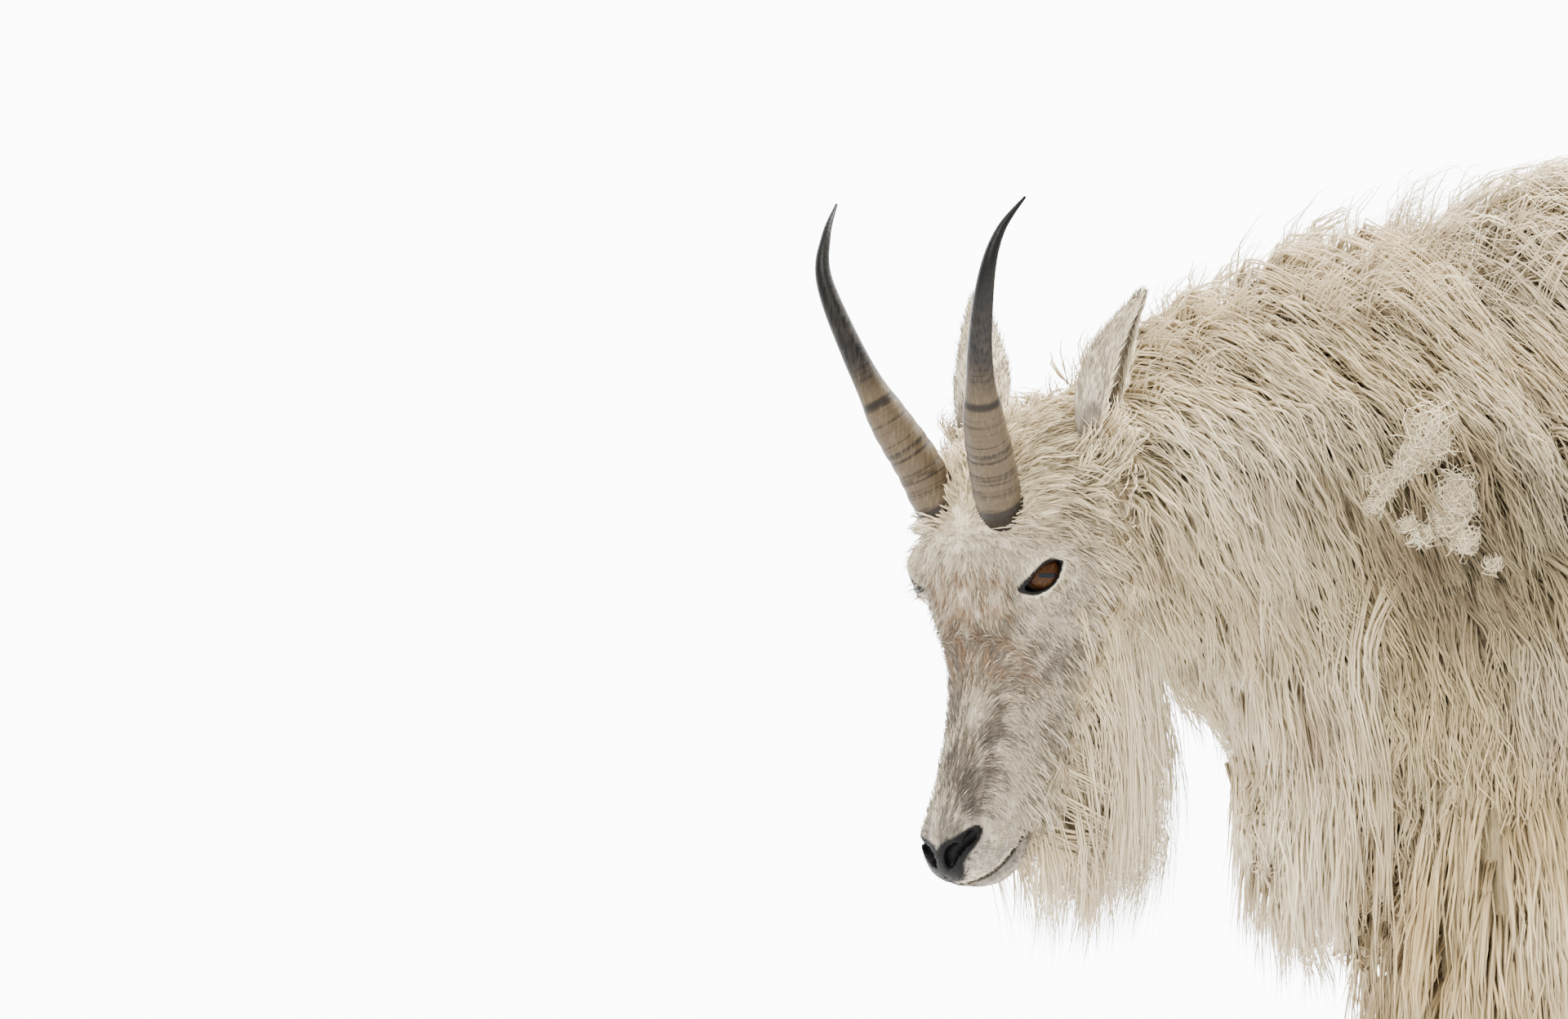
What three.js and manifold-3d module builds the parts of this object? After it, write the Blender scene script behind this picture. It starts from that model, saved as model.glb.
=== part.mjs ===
// A mountain goat, life size, standing with its head lowered and turned to its left.
// Millimetres, +Z up. The goat faces -X, and its left side is at -Y. Its soles are at z = 0.
import * as THREE from "three";
import { mergeVertices } from "three/addons/utils/BufferGeometryUtils.js";
import Module from "manifold-3d";

const wasm = await Module();
wasm.setup();

// Driving dimensions
const SKIN_SIDES = 12; // corners of a body section
const LIMB_SIDES = 8;
const HEAD_SIDES = 24;
const HEAD_RINGS = 22;
const JOIN_GAP = 0.45; // clearance between two pieces that touch
const SLIVER = 0.2; // thinner steps than this are left out of a cut surface
const HEAD_AT = [-704.5, -130, 700]; // the point midway between the eyes
const HEAD_PITCH = 80; // degrees that the muzzle points down
const HEAD_YAW = 27; // degrees that the head is turned to its left
const CORE_DEPTH = 0.5; // share of the coat's depth that a core fills, under its locks
const EYE_RADIUS = 15;
const EYE_AT = [4.5, -50, -6]; // of the left eye, in the head's own frame
const EYE_LOOK = [-0.28, -0.82, 0.5]; // where the left eye looks
const EYE_INNER = [-0.75, 0.5, 0.43]; // from the left eye's middle to its inner corner
const EYE_SLIT = { length: 31, height: 13 };
const EAR = { length: 124, width: 40, depth: 31, wall: 3.2 };
const HORN_RADIUS = 16;

const rad = THREE.MathUtils.degToRad;
const vec = (p) => new THREE.Vector3(...p);

// A smooth line through four numbers, between the second and the third
function smooth(a, b, c, d, f) {
  const slopeIn = (c - a) / 2;
  const slopeOut = (d - b) / 2;
  const f2 = f * f;
  const f3 = f2 * f;
  const start = (2 * f3 - 3 * f2 + 1) * b + (f3 - 2 * f2 + f) * slopeIn;
  return start + (3 * f2 - 2 * f3) * c + (f3 - f2) * slopeOut;
}

// The value at s, from 0 to 1, of a smooth line through evenly spaced numbers
function along(values, s) {
  const last = values.length - 1;
  const x = THREE.MathUtils.clamp(s, 0, 1) * last;
  const i = Math.min(Math.floor(x), last - 1);
  const pick = (k) => values[THREE.MathUtils.clamp(k, 0, last)];
  return smooth(pick(i - 1), pick(i), pick(i + 1), pick(i + 2), x - i);
}

// A closed body through rings of points, with a fan over each end
function loftGeometry(rings) {
  const sides = rings[0].length;
  const points = rings.flat();
  const faces = [];
  rings.slice(1).forEach((_, k) => {
    for (let i = 0; i < sides; i++) {
      const j = (i + 1) % sides;
      const [a, b] = [k * sides + i, k * sides + j];
      const [c, d] = [a + sides, b + sides];
      faces.push(a, b, d, a, d, c);
    }
  });
  const lastRing = (rings.length - 1) * sides;
  if (sides === 3) {
    faces.push(0, 2, 1, lastRing, lastRing + 1, lastRing + 2);
    return new THREE.BufferGeometry().setFromPoints(points).setIndex(faces);
  }
  const middle = (ring) =>
    ring.reduce((sum, p) => sum.add(p), new THREE.Vector3()).divideScalar(sides);
  const top = points.push(middle(rings[0])) - 1;
  const bottom = points.push(middle(rings.at(-1))) - 1;
  for (let i = 0; i < sides; i++) {
    const j = (i + 1) % sides;
    faces.push(top, j, i, bottom, lastRing + i, lastRing + j);
  }
  return new THREE.BufferGeometry().setFromPoints(points).setIndex(faces);
}

// A closed geometry as a solid, turned the right way out
function solidOf(geometry) {
  const bare = geometry.clone();
  bare.deleteAttribute("normal");
  bare.deleteAttribute("uv");
  const merged = mergeVertices(bare, 1e-4);
  const triVerts = new Uint32Array(merged.index.array);
  const vertProperties = merged.attributes.position.array;
  const make = (faces) =>
    new wasm.Manifold(new wasm.Mesh({ numProp: 3, vertProperties, triVerts: faces }));
  const made = make(triVerts);
  if (made.volume() > 0) return made;
  for (let i = 0; i < triVerts.length; i += 3) {
    [triVerts[i + 1], triVerts[i + 2]] = [triVerts[i + 2], triVerts[i + 1]];
  }
  return make(triVerts);
}

const loft = (rings) => solidOf(loftGeometry(rings));
const placed = (solid, matrix) => solid.transform([...matrix.elements]);
const joined = (solids) => wasm.Manifold.union(solids);

// The largest closed surface of a solid, which leaves loose scraps and sealed hollows out,
// with the slivers along its cuts smoothed away
function largest(solid) {
  const bodies = solid.simplify(SLIVER).decompose();
  return bodies.reduce((best, body) => (body.volume() > best.volume() ? body : best));
}

function geometryOf(solid) {
  const mesh = solid.getMesh();
  const points = new Float32Array(mesh.numVert * 3);
  for (let i = 0; i < mesh.numVert; i++) {
    const start = i * mesh.numProp;
    points.set(mesh.vertProperties.subarray(start, start + 3), i * 3);
  }
  const geometry = new THREE.BufferGeometry();
  geometry.setAttribute("position", new THREE.BufferAttribute(points, 3));
  geometry.setIndex(new THREE.BufferAttribute(mesh.triVerts, 1));
  geometry.computeVertexNormals();
  return geometry;
}

// A limb or trunk described by sections. Each section has its centre, the yaw and tilt of its
// up direction, and how far flesh and coat reach: up, down, and sideways at each of the levels.
class Form {
  constructor(levels, sections, sides) {
    this.levels = levels;
    this.sections = sections;
    this.sides = sides;
  }

  column(pick, s) {
    return along(this.sections.map(pick), s);
  }

  centre(s) {
    const at = [0, 1, 2].map((axis) => this.column((q) => q.at[axis], s));
    const beyond = Math.max(0, s - 1);
    if (!beyond) return vec(at);
    const [before, end] = this.sections.slice(-2).map((q) => vec(q.at));
    const step = end.sub(before).multiplyScalar(beyond * (this.sections.length - 1));
    return vec(at).add(step);
  }

  frame(s) {
    const yaw = rad(this.column((q) => q.yaw ?? 0, s));
    const tilt = rad(this.column((q) => q.tilt ?? 0, s));
    const ahead = new THREE.Vector3(-Math.cos(yaw), -Math.sin(yaw), 0);
    const left = new THREE.Vector3(Math.sin(yaw), -Math.cos(yaw), 0);
    const up = ahead.multiplyScalar(Math.sin(tilt));
    up.z = Math.cos(tilt);
    return { left, up };
  }

  // A point of the surface at s along the form and turn round it, from 0 at the top
  // through the left side. layer is 0 on the flesh and 1 at the coat's tips.
  point(s, turn, layer, grow = 0) {
    const size = this.sections[0].flesh.map((_, k) => {
      const flesh = this.column((q) => q.flesh[k], s);
      return flesh + (this.column((q) => q.coat[k], s) - flesh) * layer + grow;
    });
    const [up, down, ...widths] = size;
    const half = this.levels.map((level, k) => [
      widths[k],
      level * (level > 0 ? up : down),
    ]);
    const rest = half.map(([w, h]) => [-w, h]).reverse();
    const corners = [[0, up], ...half, [0, -down], ...rest];
    const n = corners.length;
    const x = (turn - Math.floor(turn)) * n;
    const i = Math.floor(x);
    const pick = (k, axis) => corners[(k + n) % n][axis];
    const [across, high] = [0, 1].map((axis) =>
      smooth(pick(i - 1, axis), pick(i, axis), pick(i + 1, axis), pick(i + 2, axis), x - i),
    );
    const { left, up: upward } = this.frame(s);
    return this.centre(s).addScaledVector(left, across).addScaledVector(upward, high);
  }

  solid(layer, steps, grow = 0) {
    const rings = [];
    for (let k = 0; k <= steps; k++) {
      const ring = [];
      for (let i = 0; i < this.sides; i++) {
        ring.push(this.point(k / steps, i / this.sides, layer, grow));
      }
      rings.push(ring);
    }
    const push = (ring, s, towards) => {
      const way = this.centre(s).sub(this.centre(towards)).setLength(grow);
      ring.forEach((p) => p.add(way));
    };
    if (grow) {
      push(rings[0], 0, 1 / steps);
      push(rings.at(-1), 1, 1 - 1 / steps);
    }
    return loft(rings);
  }
}

// A repeatable draw of numbers from -amount to amount
function drawFrom(seed) {
  let state = seed;
  return (amount) => {
    state = (Math.imul(state, 1664525) + 1013904223) >>> 0;
    return (state / 2 ** 31 - 1) * amount;
  };
}
const vary = drawFrom(41);

const LOCK_WIDTHS = [0.7, 1, 0.64, 0.05]; // shares of the width, root first
const LOCK_HEIGHTS = [0.6, 1, 0.9, 0.2];

// One flat, tapered lock with a raised middle, which follows its form's coat from root to tip
function lockSolid(form, lock, grow) {
  const { s, turn, run, width, height, root = 0.28, tip = 1 } = lock;
  const last = LOCK_WIDTHS.length - 1;
  const at = (t, layer) => form.point(s + run[0] * t, turn + run[1] * t, layer);
  const path = LOCK_WIDTHS.map((_, k) => at(k / last, root + (tip - root) * (k / last) ** 0.85));
  const rings = path.map((p, k) => {
    const before = path[Math.max(k - 1, 0)];
    const after = path[Math.min(k + 1, last)];
    const ahead = after.clone().sub(before).normalize();
    const outward = at(k / last, 1.4).sub(at(k / last, 0));
    const across = new THREE.Vector3().crossVectors(outward, ahead).normalize();
    const up = new THREE.Vector3().crossVectors(ahead, across);
    const halfWidth = (width / 2) * LOCK_WIDTHS[k];
    const ridge = height * LOCK_HEIGHTS[k];
    const edge = halfWidth + (2 * grow * halfWidth) / ridge + grow;
    const middle = p.clone();
    if (k === 0) middle.addScaledVector(ahead, -grow);
    if (k === last) middle.addScaledVector(ahead, 3 * grow);
    return [
      middle.clone().addScaledVector(across, -edge).addScaledVector(up, -grow),
      middle.clone().addScaledVector(across, edge).addScaledVector(up, -grow),
      middle.clone().addScaledVector(up, ridge + 1.4 * grow),
    ];
  });
  return loft(rings);
}

// A row of like locks along both sides of a form, between two places along it
function sideRow(turn, from, to, count, [ahead, down], width, height, more = {}) {
  const locks = [];
  for (let i = 0; i < count; i++) {
    const s = from + ((to - from) * (i + 0.5)) / count;
    [1, -1].forEach((side) => {
      locks.push({
        s: s + vary(0.012),
        turn: side * (turn + vary(0.012)),
        run: [ahead * (1 + vary(0.25)), side * down * (1 + vary(0.15))],
        width: width * (1 + vary(0.14)),
        height: height * (1 + vary(0.1)),
        ...more,
      });
    });
  }
  return locks;
}

// A ring of like locks round a limb, all pointing along it
function ringRow(s, count, shift, reach, width, height, more = {}) {
  const locks = [];
  for (let i = 0; i < count; i++) {
    locks.push({
      s: s + vary(0.015),
      turn: (i + shift) / count + vary(0.01),
      run: [reach * (1 + vary(0.14)), vary(0.02)],
      width: width * (1 + vary(0.12)),
      height: height * (1 + vary(0.1)),
      ...more,
    });
  }
  return locks;
}

// A coated form: a smooth core with its locks rooted in it. steps is the core's rings.
class Coated {
  constructor(form, steps, locks) {
    this.form = form;
    this.steps = steps;
    this.locks = locks;
  }

  solid(grow = 0) {
    const core = this.form.solid(CORE_DEPTH, this.steps, grow);
    return joined([core, ...this.locks.map((lock) => lockSolid(this.form, lock, grow))]);
  }
}

const BODY_LEVELS = [0.55, 0, -0.6];

// Trunk: chest, barrel and rump. The numbers are up, down, and sideways at three levels.
const trunkRow = (x, z, flesh, coat) => ({ at: [x, 0, z], flesh, coat });
const trunk = new Form(
  BODY_LEVELS,
  [
    trunkRow(-462, 560, [10, 10, 6, 8, 6], [20, 30, 12, 18, 14]),
    trunkRow(-440, 600, [80, 55, 40, 52, 34], [150, 128, 54, 74, 50]),
    trunkRow(-392, 650, [130, 118, 60, 84, 58], [262, 216, 78, 124, 80]),
    trunkRow(-330, 680, [180, 176, 68, 114, 94], [286, 258, 88, 160, 128]),
    trunkRow(-240, 690, [212, 194, 68, 132, 110], [304, 275, 92, 180, 150]),
    trunkRow(-120, 690, [196, 192, 78, 142, 106], [282, 274, 108, 190, 146]),
    trunkRow(0, 690, [178, 188, 94, 149, 116], [256, 281, 126, 196, 150]),
    trunkRow(120, 690, [172, 182, 98, 150, 116], [240, 280, 132, 197, 150]),
    trunkRow(230, 695, [166, 164, 98, 144, 116], [222, 262, 132, 191, 152]),
    trunkRow(330, 700, [156, 138, 92, 136, 112], [205, 226, 126, 183, 150]),
    trunkRow(420, 705, [128, 104, 76, 118, 96], [172, 180, 106, 164, 132]),
    trunkRow(485, 712, [88, 66, 50, 84, 48], [122, 130, 74, 128, 84]),
    trunkRow(520, 718, [40, 32, 24, 40, 24], [72, 84, 42, 78, 50]),
    trunkRow(534, 720, [5, 5, 3, 5, 3], [12, 14, 8, 12, 8]),
  ],
  SKIN_SIDES,
);

// Neck, from the back of the head to the shoulders
const neckRow = (at, yaw, tilt, flesh, coat) => ({ at, yaw, tilt, flesh, coat });
const neck = new Form(
  BODY_LEVELS,
  [
    neckRow([-655, -104, 742], 27, 44, [50, 48, 34, 46, 34], [70, 60, 44, 60, 46]),
    neckRow([-624, -89, 750], 24, 39, [56, 62, 36, 50, 38], [80, 96, 50, 70, 52]),
    neckRow([-560, -62, 768], 20, 28, [62, 82, 40, 58, 46], [94, 150, 60, 86, 64]),
    neckRow([-480, -34, 778], 14, 20, [72, 140, 46, 72, 58], [124, 222, 72, 108, 78]),
    neckRow([-400, -14, 772], 8, 15, [92, 190, 54, 92, 70], [164, 282, 82, 132, 92]),
    neckRow([-330, -4, 755], 3, 12, [116, 196, 60, 104, 76], [208, 290, 86, 148, 96]),
    neckRow([-280, 0, 745], 0, 10, [120, 180, 56, 98, 70], [205, 262, 74, 132, 84]),
  ],
  SKIN_SIDES,
);

// Tail
const tailRow = (x, z, tilt, flesh, coat) => ({ at: [x, 0, z], tilt, flesh, coat });
const tail = new Form(
  BODY_LEVELS,
  [
    tailRow(478, 806, -10, [14, 14, 10, 16, 10], [24, 24, 18, 28, 18]),
    tailRow(512, 800, -30, [13, 13, 10, 16, 10], [30, 30, 26, 36, 26]),
    tailRow(542, 776, -60, [11, 11, 9, 14, 9], [32, 36, 30, 42, 30]),
    tailRow(558, 738, -76, [9, 9, 7, 11, 7], [32, 40, 30, 42, 30]),
    tailRow(563, 698, -84, [6, 6, 5, 8, 5], [25, 34, 24, 34, 24]),
    tailRow(564, 660, -88, [4, 4, 3, 5, 3], [14, 18, 13, 18, 13]),
    tailRow(564, 634, -90, [2, 2, 1.5, 2, 1.5], [4, 5, 3, 4, 3]),
  ],
  LIMB_SIDES,
);

// Upper legs under the body, from inside the trunk down to the chaps' tips. The up direction
// of a section is the leg's front.
const legRow = (x, y, z, flesh, coat) => ({ at: [x, y, z], tilt: 90, flesh, coat });
const foreUpper = (x, y) =>
  new Form(
    BODY_LEVELS,
    [
      legRow(x + 12, y, 596, [48, 50, 24, 30, 24], [52, 54, 26, 32, 26]),
      legRow(x + 12, y, 535, [50, 54, 28, 36, 28], [84, 80, 44, 58, 44]),
      legRow(x + 9, y, 470, [42, 45, 27, 33, 27], [92, 84, 52, 68, 54]),
      legRow(x + 5, y, 400, [35, 37, 23, 29, 23], [85, 80, 50, 65, 52]),
      legRow(x, y, 330, [30, 31, 21, 26, 21], [72, 70, 45, 57, 46]),
      legRow(x - 4, y, 265, [28, 27, 21, 26, 21], [50, 50, 36, 43, 36]),
      legRow(x - 2, y, 222, [23, 23, 17, 22, 17], [25, 26, 19, 24, 19]),
    ],
    LIMB_SIDES,
  );
const hindUpper = (x, y) =>
  new Form(
    BODY_LEVELS,
    [
      legRow(x - 62, y + 6, 668, [76, 72, 30, 38, 30], [82, 78, 34, 42, 34]),
      legRow(x - 68, y + 5, 605, [96, 90, 44, 54, 42], [118, 118, 60, 74, 58]),
      legRow(x - 62, y + 5, 545, [80, 80, 40, 48, 36], [114, 122, 64, 80, 62]),
      legRow(x - 36, y + 3, 480, [58, 60, 30, 36, 28], [94, 112, 56, 70, 56]),
      legRow(x - 8, y, 420, [43, 47, 25, 30, 24], [78, 98, 48, 60, 48]),
      legRow(x + 14, y, 362, [34, 38, 20, 25, 19], [62, 80, 40, 50, 40]),
      legRow(x + 20, y, 310, [28, 32, 18, 22, 17], [44, 52, 30, 38, 30]),
      legRow(x + 17, y, 268, [23, 24, 16, 20, 16], [25, 27, 18, 22, 18]),
    ],
    LIMB_SIDES,
  );

// Lower legs with short hair, from the knee or hock down to the hooves
const foreLower = (x, y) =>
  new Form(
    BODY_LEVELS,
    [
      legRow(x - 3, y, 262, [18, 18, 13, 17, 13], [18, 18, 13, 17, 13]),
      legRow(x - 2, y, 212, [17, 17, 13, 17, 13], [21, 22, 16, 21, 16]),
      legRow(x, y, 150, [15, 16, 12, 15, 12], [19, 20, 15, 19, 15]),
      legRow(x + 1, y, 105, [20, 24, 18, 22, 18], [24, 30, 22, 26, 22]),
      legRow(x - 6, y, 70, [19, 20, 18, 21, 18], [23, 26, 22, 25, 22]),
      legRow(x - 14, y, 44, [27, 24, 22, 27, 24], [31, 30, 25, 30, 26]),
      legRow(x - 16, y, 34, [30, 26, 24, 29, 26], [32, 30, 25, 30, 27]),
    ],
    LIMB_SIDES,
  );
const hindLower = (x, y) =>
  new Form(
    BODY_LEVELS,
    [
      legRow(x + 18, y, 310, [20, 22, 12, 16, 12], [20, 22, 12, 16, 12]),
      legRow(x + 14, y, 255, [18, 19, 12, 16, 12], [22, 24, 15, 20, 15]),
      legRow(x + 8, y, 165, [15, 17, 12, 15, 12], [19, 22, 15, 19, 15]),
      legRow(x + 6, y, 105, [20, 24, 17, 21, 17], [24, 30, 21, 25, 21]),
      legRow(x - 2, y, 70, [18, 20, 17, 20, 17], [22, 26, 21, 24, 21]),
      legRow(x - 11, y, 44, [26, 24, 21, 26, 23], [30, 30, 24, 29, 25]),
      legRow(x - 13, y, 34, [29, 26, 23, 28, 25], [31, 30, 24, 29, 26]),
    ],
    LIMB_SIDES,
  );

// One toe of a hoof: flat sole, sloping front wall. side is -1 for a toe on the left.
const toe = (x, y, side) => {
  const row = (back, z, length, heel, width) => ({
    at: [x + back, y + side * (width + 4 - 0.03 * z), z],
    yaw: side * -3,
    tilt: 90,
    flesh: [length, heel, width * 0.72, width, width * 0.95],
    coat: [length, heel, width * 0.72, width, width * 0.95],
  });
  const rows = [
    row(-12, 0, 38, 36, 15),
    row(-12, 10, 37, 36, 15),
    row(-10, 24, 30, 34, 14.4),
    row(-8, 38, 23, 31, 13.6),
    row(-7, 46, 19, 28, 12.6),
  ];
  return new Form(BODY_LEVELS, rows, 9);
};

// The head in its own frame: nose towards -X, crown up, its left at -Y, between the eyes at 0.
// Each row is how far in front of the eyes it lies, its top, its bottom, and four half-widths.
const HEAD_LEVELS = [0.8, 0.3, -0.3, -0.8];
const FUR_DEPTH = 5;
const headRow = (ahead, top, bottom, widths) => {
  const middle = (top + bottom) / 2;
  const coat = [top - middle, middle - bottom, ...widths];
  return { at: [-ahead, 0, middle], coat, flesh: coat.map((w) => Math.max(w - FUR_DEPTH, 1)) };
};
const skull = new Form(
  HEAD_LEVELS,
  [
    headRow(204, -14, -36, [5, 8, 9, 6]),
    headRow(199, -6, -50, [14, 19, 20, 14]),
    headRow(188, 2, -60, [19, 25, 27, 20]),
    headRow(172, 8, -66, [20, 28, 30, 22]),
    headRow(148, 8, -75, [18, 29, 33, 26]),
    headRow(118, 6, -80, [19, 32, 36, 28]),
    headRow(85, 6, -88, [21, 37, 41, 30]),
    headRow(53, 9, -100, [28, 45, 46, 31]),
    headRow(25, 14, -111, [43, 56, 51, 32]),
    headRow(0, 20, -118, [53, 62, 53, 33]),
    headRow(-25, 26, -120, [51, 60, 55, 34]),
    headRow(-50, 27, -116, [46, 57, 56, 36]),
    headRow(-76, 18, -108, [42, 56, 56, 37]),
    headRow(-100, -2, -98, [38, 52, 52, 35]),
    headRow(-118, -26, -88, [26, 38, 38, 25]),
    headRow(-126, -44, -72, [8, 12, 12, 8]),
  ],
  HEAD_SIDES,
);

const headMatrix = new THREE.Matrix4().compose(
  vec(HEAD_AT),
  new THREE.Quaternion().setFromEuler(
    new THREE.Euler(0, -rad(HEAD_PITCH), rad(HEAD_YAW), "ZYX"),
  ),
  new THREE.Vector3(1, 1, 1),
);

// The beard in the world's frame: it hangs from the chin, the jaw and the throat. Each row is
// the height under the eyes, how far behind them its middle is, and its reach.
const faceAhead = new THREE.Vector3(-Math.cos(rad(HEAD_YAW)), -Math.sin(rad(HEAD_YAW)), 0);
const beardRow = (under, behind, flesh, coat) => {
  const at = vec(HEAD_AT).addScaledVector(faceAhead, -behind);
  return { at: [at.x, at.y, at.z - under], yaw: HEAD_YAW, tilt: 90, flesh, coat };
};
const beard = new Form(
  BODY_LEVELS,
  [
    beardRow(-22, 78, [30, 24, 18, 30, 18], [34, 40, 26, 38, 26]),
    beardRow(20, 86, [40, 34, 24, 34, 22], [50, 58, 34, 46, 32]),
    beardRow(66, 92, [46, 40, 22, 32, 20], [60, 74, 34, 46, 32]),
    beardRow(112, 92, [50, 44, 20, 28, 18], [66, 84, 32, 42, 30]),
    beardRow(152, 92, [44, 42, 15, 22, 15], [64, 82, 29, 37, 28]),
    beardRow(190, 94, [28, 34, 8, 12, 8], [60, 72, 24, 31, 23]),
    beardRow(220, 98, [14, 16, 3, 5, 3], [46, 54, 15, 20, 15]),
    beardRow(240, 102, [4, 4, 1, 2, 1], [22, 26, 5, 7, 5]),
  ],
  LIMB_SIDES,
);

// A horn of the left side, in the head's frame: its middle line, root first, and its radii
const HORN_LINE = [
  [38, -26.5, 8],
  [47.8, -29, 21.2],
  [69.2, -34, 37.1],
  [96.9, -44, 61],
  [135.8, -58, 86],
  [180.3, -74, 104.5],
  [210.4, -79.5, 102.5],
  [235, -86, 90],
].map(([back, out, high]) => new THREE.Vector3(back, out, high));
const HORN_SHARES = [1, 1, 0.97, 0.86, 0.62, 0.52, 0.45, 0.34, 0.2, 0.06];
const HORN_RINGS = 22;
const HORN_SIDES = 10;
const HORN_RIDGED = 0.46; // share of the horn's length that has ridges
const HORN_RIDGE = 0.035; // height of a ridge, as a share of the radius

function horn(side, grow = 0) {
  const line = new THREE.CatmullRomCurve3(
    HORN_LINE.map((p) => new THREE.Vector3(p.x, -side * p.y, p.z)),
    false,
    "centripetal",
  );
  const frames = line.computeFrenetFrames(HORN_RINGS);
  const rings = [];
  for (let k = 0; k <= HORN_RINGS; k++) {
    const s = k / HORN_RINGS;
    const swell = s < HORN_RIDGED ? 1 + HORN_RIDGE * (k % 2) : 1;
    const radius = HORN_RADIUS * along(HORN_SHARES, s) * swell + grow;
    const ring = [];
    for (let i = 0; i < HORN_SIDES; i++) {
      const turn = (i / HORN_SIDES) * 2 * Math.PI;
      const p = line.getPointAt(s);
      p.addScaledVector(frames.normals[k], radius * Math.cos(turn));
      p.addScaledVector(frames.binormals[k], radius * Math.sin(turn));
      if (k === HORN_RINGS) p.addScaledVector(frames.tangents[k], grow);
      if (k === 0) p.addScaledVector(frames.tangents[k], -grow);
      ring.push(p);
    }
    rings.push(ring);
  }
  return loft(rings);
}

// An ear: a rolled leaf with a hollow cup, open to the side and a little back
const EAR_ROOT = [79, -52, -38];
const EAR_TIP = [197, -77, -43];
const EAR_SHAPE = [0.52, 0.7, 0.88, 1, 0.97, 0.84, 0.66, 0.42, 0.12];
const EAR_CUP = [0, 0.3, 0.75, 0.95, 1, 1, 0.9, 0.7, 0];
const EAR_OPEN = 46; // degrees from the middle of the opening to each rim
const EAR_ROWS = 8;
const EAR_BOW = 10; // how far the ear's middle bends back
const earAxis = vec(EAR_TIP).sub(vec(EAR_ROOT)).normalize();
const earOpen = new THREE.Vector3(0.42, -0.85, -0.3).projectOnPlane(earAxis).normalize();
const earCross = new THREE.Vector3().crossVectors(earAxis, earOpen);
const mirrored = (p, side) => new THREE.Vector3(p.x, -side * p.y, p.z);

// A point of the ear's wall at s along it and turn round it, inset from the outer face
function earPoint(s, turn, inset) {
  const size = along(EAR_SHAPE, s);
  const wide = Math.max((EAR.width / 2) * size - inset, 0.3);
  const deep = Math.max((EAR.depth / 2) * size - inset, 0.3);
  return earMiddle(s)
    .addScaledVector(earOpen, deep * Math.cos(turn))
    .addScaledVector(earCross, wide * Math.sin(turn));
}

function earMiddle(s) {
  const p = vec(EAR_ROOT).addScaledVector(earAxis, s * EAR.length);
  return p.addScaledVector(earOpen, -EAR_BOW * Math.sin(Math.PI * s));
}

// The inner wall follows the outer one where there is a cup, and fills it where there is none.
function ear(side) {
  const from = rad(EAR_OPEN);
  const steps = 8;
  const rings = [];
  for (let k = 0; k <= EAR_ROWS; k++) {
    const s = k / EAR_ROWS;
    const size = along(EAR_SHAPE, s);
    const solidShare = 1 - along(EAR_CUP, s);
    const wall = Math.min(EAR.wall, 0.2 * EAR.width * size);
    const shut = earMiddle(s).addScaledVector(earOpen, 0.36 * EAR.depth * size);
    const outer = [];
    const inner = [];
    for (let i = 0; i <= steps; i++) {
      const turn = from + ((2 * Math.PI - 2 * from) * i) / steps;
      const rim = i === 0 || i === steps;
      outer.push(earPoint(s, turn, 0));
      const p = earPoint(s, turn, wall * (rim ? 0.4 : 1));
      inner.push(p.lerp(shut, solidShare * (rim ? 0.3 : 0.8)));
    }
    rings.push([...outer, ...inner.reverse()].map((p) => mirrored(p, side)));
  }
  return loft(rings);
}

// The room an ear takes up, hollow and all, to be cut from what is round its root
function earRoom(side) {
  const rings = [];
  const sides = 14;
  for (let k = 0; k <= EAR_ROWS; k++) {
    const ring = [];
    for (let i = 0; i < sides; i++) {
      const p = earPoint(k / EAR_ROWS, (i / sides) * 2 * Math.PI, -2 * JOIN_GAP);
      if (k === 0) p.addScaledVector(earAxis, -JOIN_GAP);
      ring.push(mirrored(p, side));
    }
    rings.push(ring);
  }
  return loft(rings);
}

// Turns a shape made round the origin, with +X to the eye's inner corner and +Z along its look,
// into the left eye's place. The right eye's is its mirror image.
function atEye(geometry, side) {
  const look = vec(EYE_LOOK).normalize();
  const inner = vec(EYE_INNER).projectOnPlane(look).normalize();
  const over = new THREE.Vector3().crossVectors(look, inner);
  geometry.applyMatrix4(new THREE.Matrix4().makeBasis(inner, over, look));
  geometry.translate(...EYE_AT);
  if (side > 0) geometry.scale(1, -1, 1);
  return solidOf(geometry);
}

const eye = (side, grow = 0) => atEye(new THREE.IcosahedronGeometry(EYE_RADIUS + grow, 2), side);

// Lids: a low dome over the eyeball, with an almond slit cut through to it
function lids(side) {
  const dome = new THREE.SphereGeometry(1, 12, 8);
  dome.scale(22, 17.5, 18.2);
  return atEye(dome, side);
}

function slit(side) {
  const { length, height } = EYE_SLIT;
  const almond = new THREE.Shape();
  almond.moveTo(-length * 0.42, 0);
  almond.quadraticCurveTo(-length * 0.1, -height, length * 0.58, -height * 0.12);
  almond.quadraticCurveTo(length * 0.02, height * 1.05, -length * 0.42, 0);
  const depth = 30;
  const cutter = new THREE.ExtrudeGeometry(almond, { depth, bevelEnabled: false, curveSegments: 6 });
  return atEye(cutter, side);
}

const SIDES = { left: -1, right: 1 };
const eachSide = (make) => Object.values(SIDES).map(make);

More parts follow.
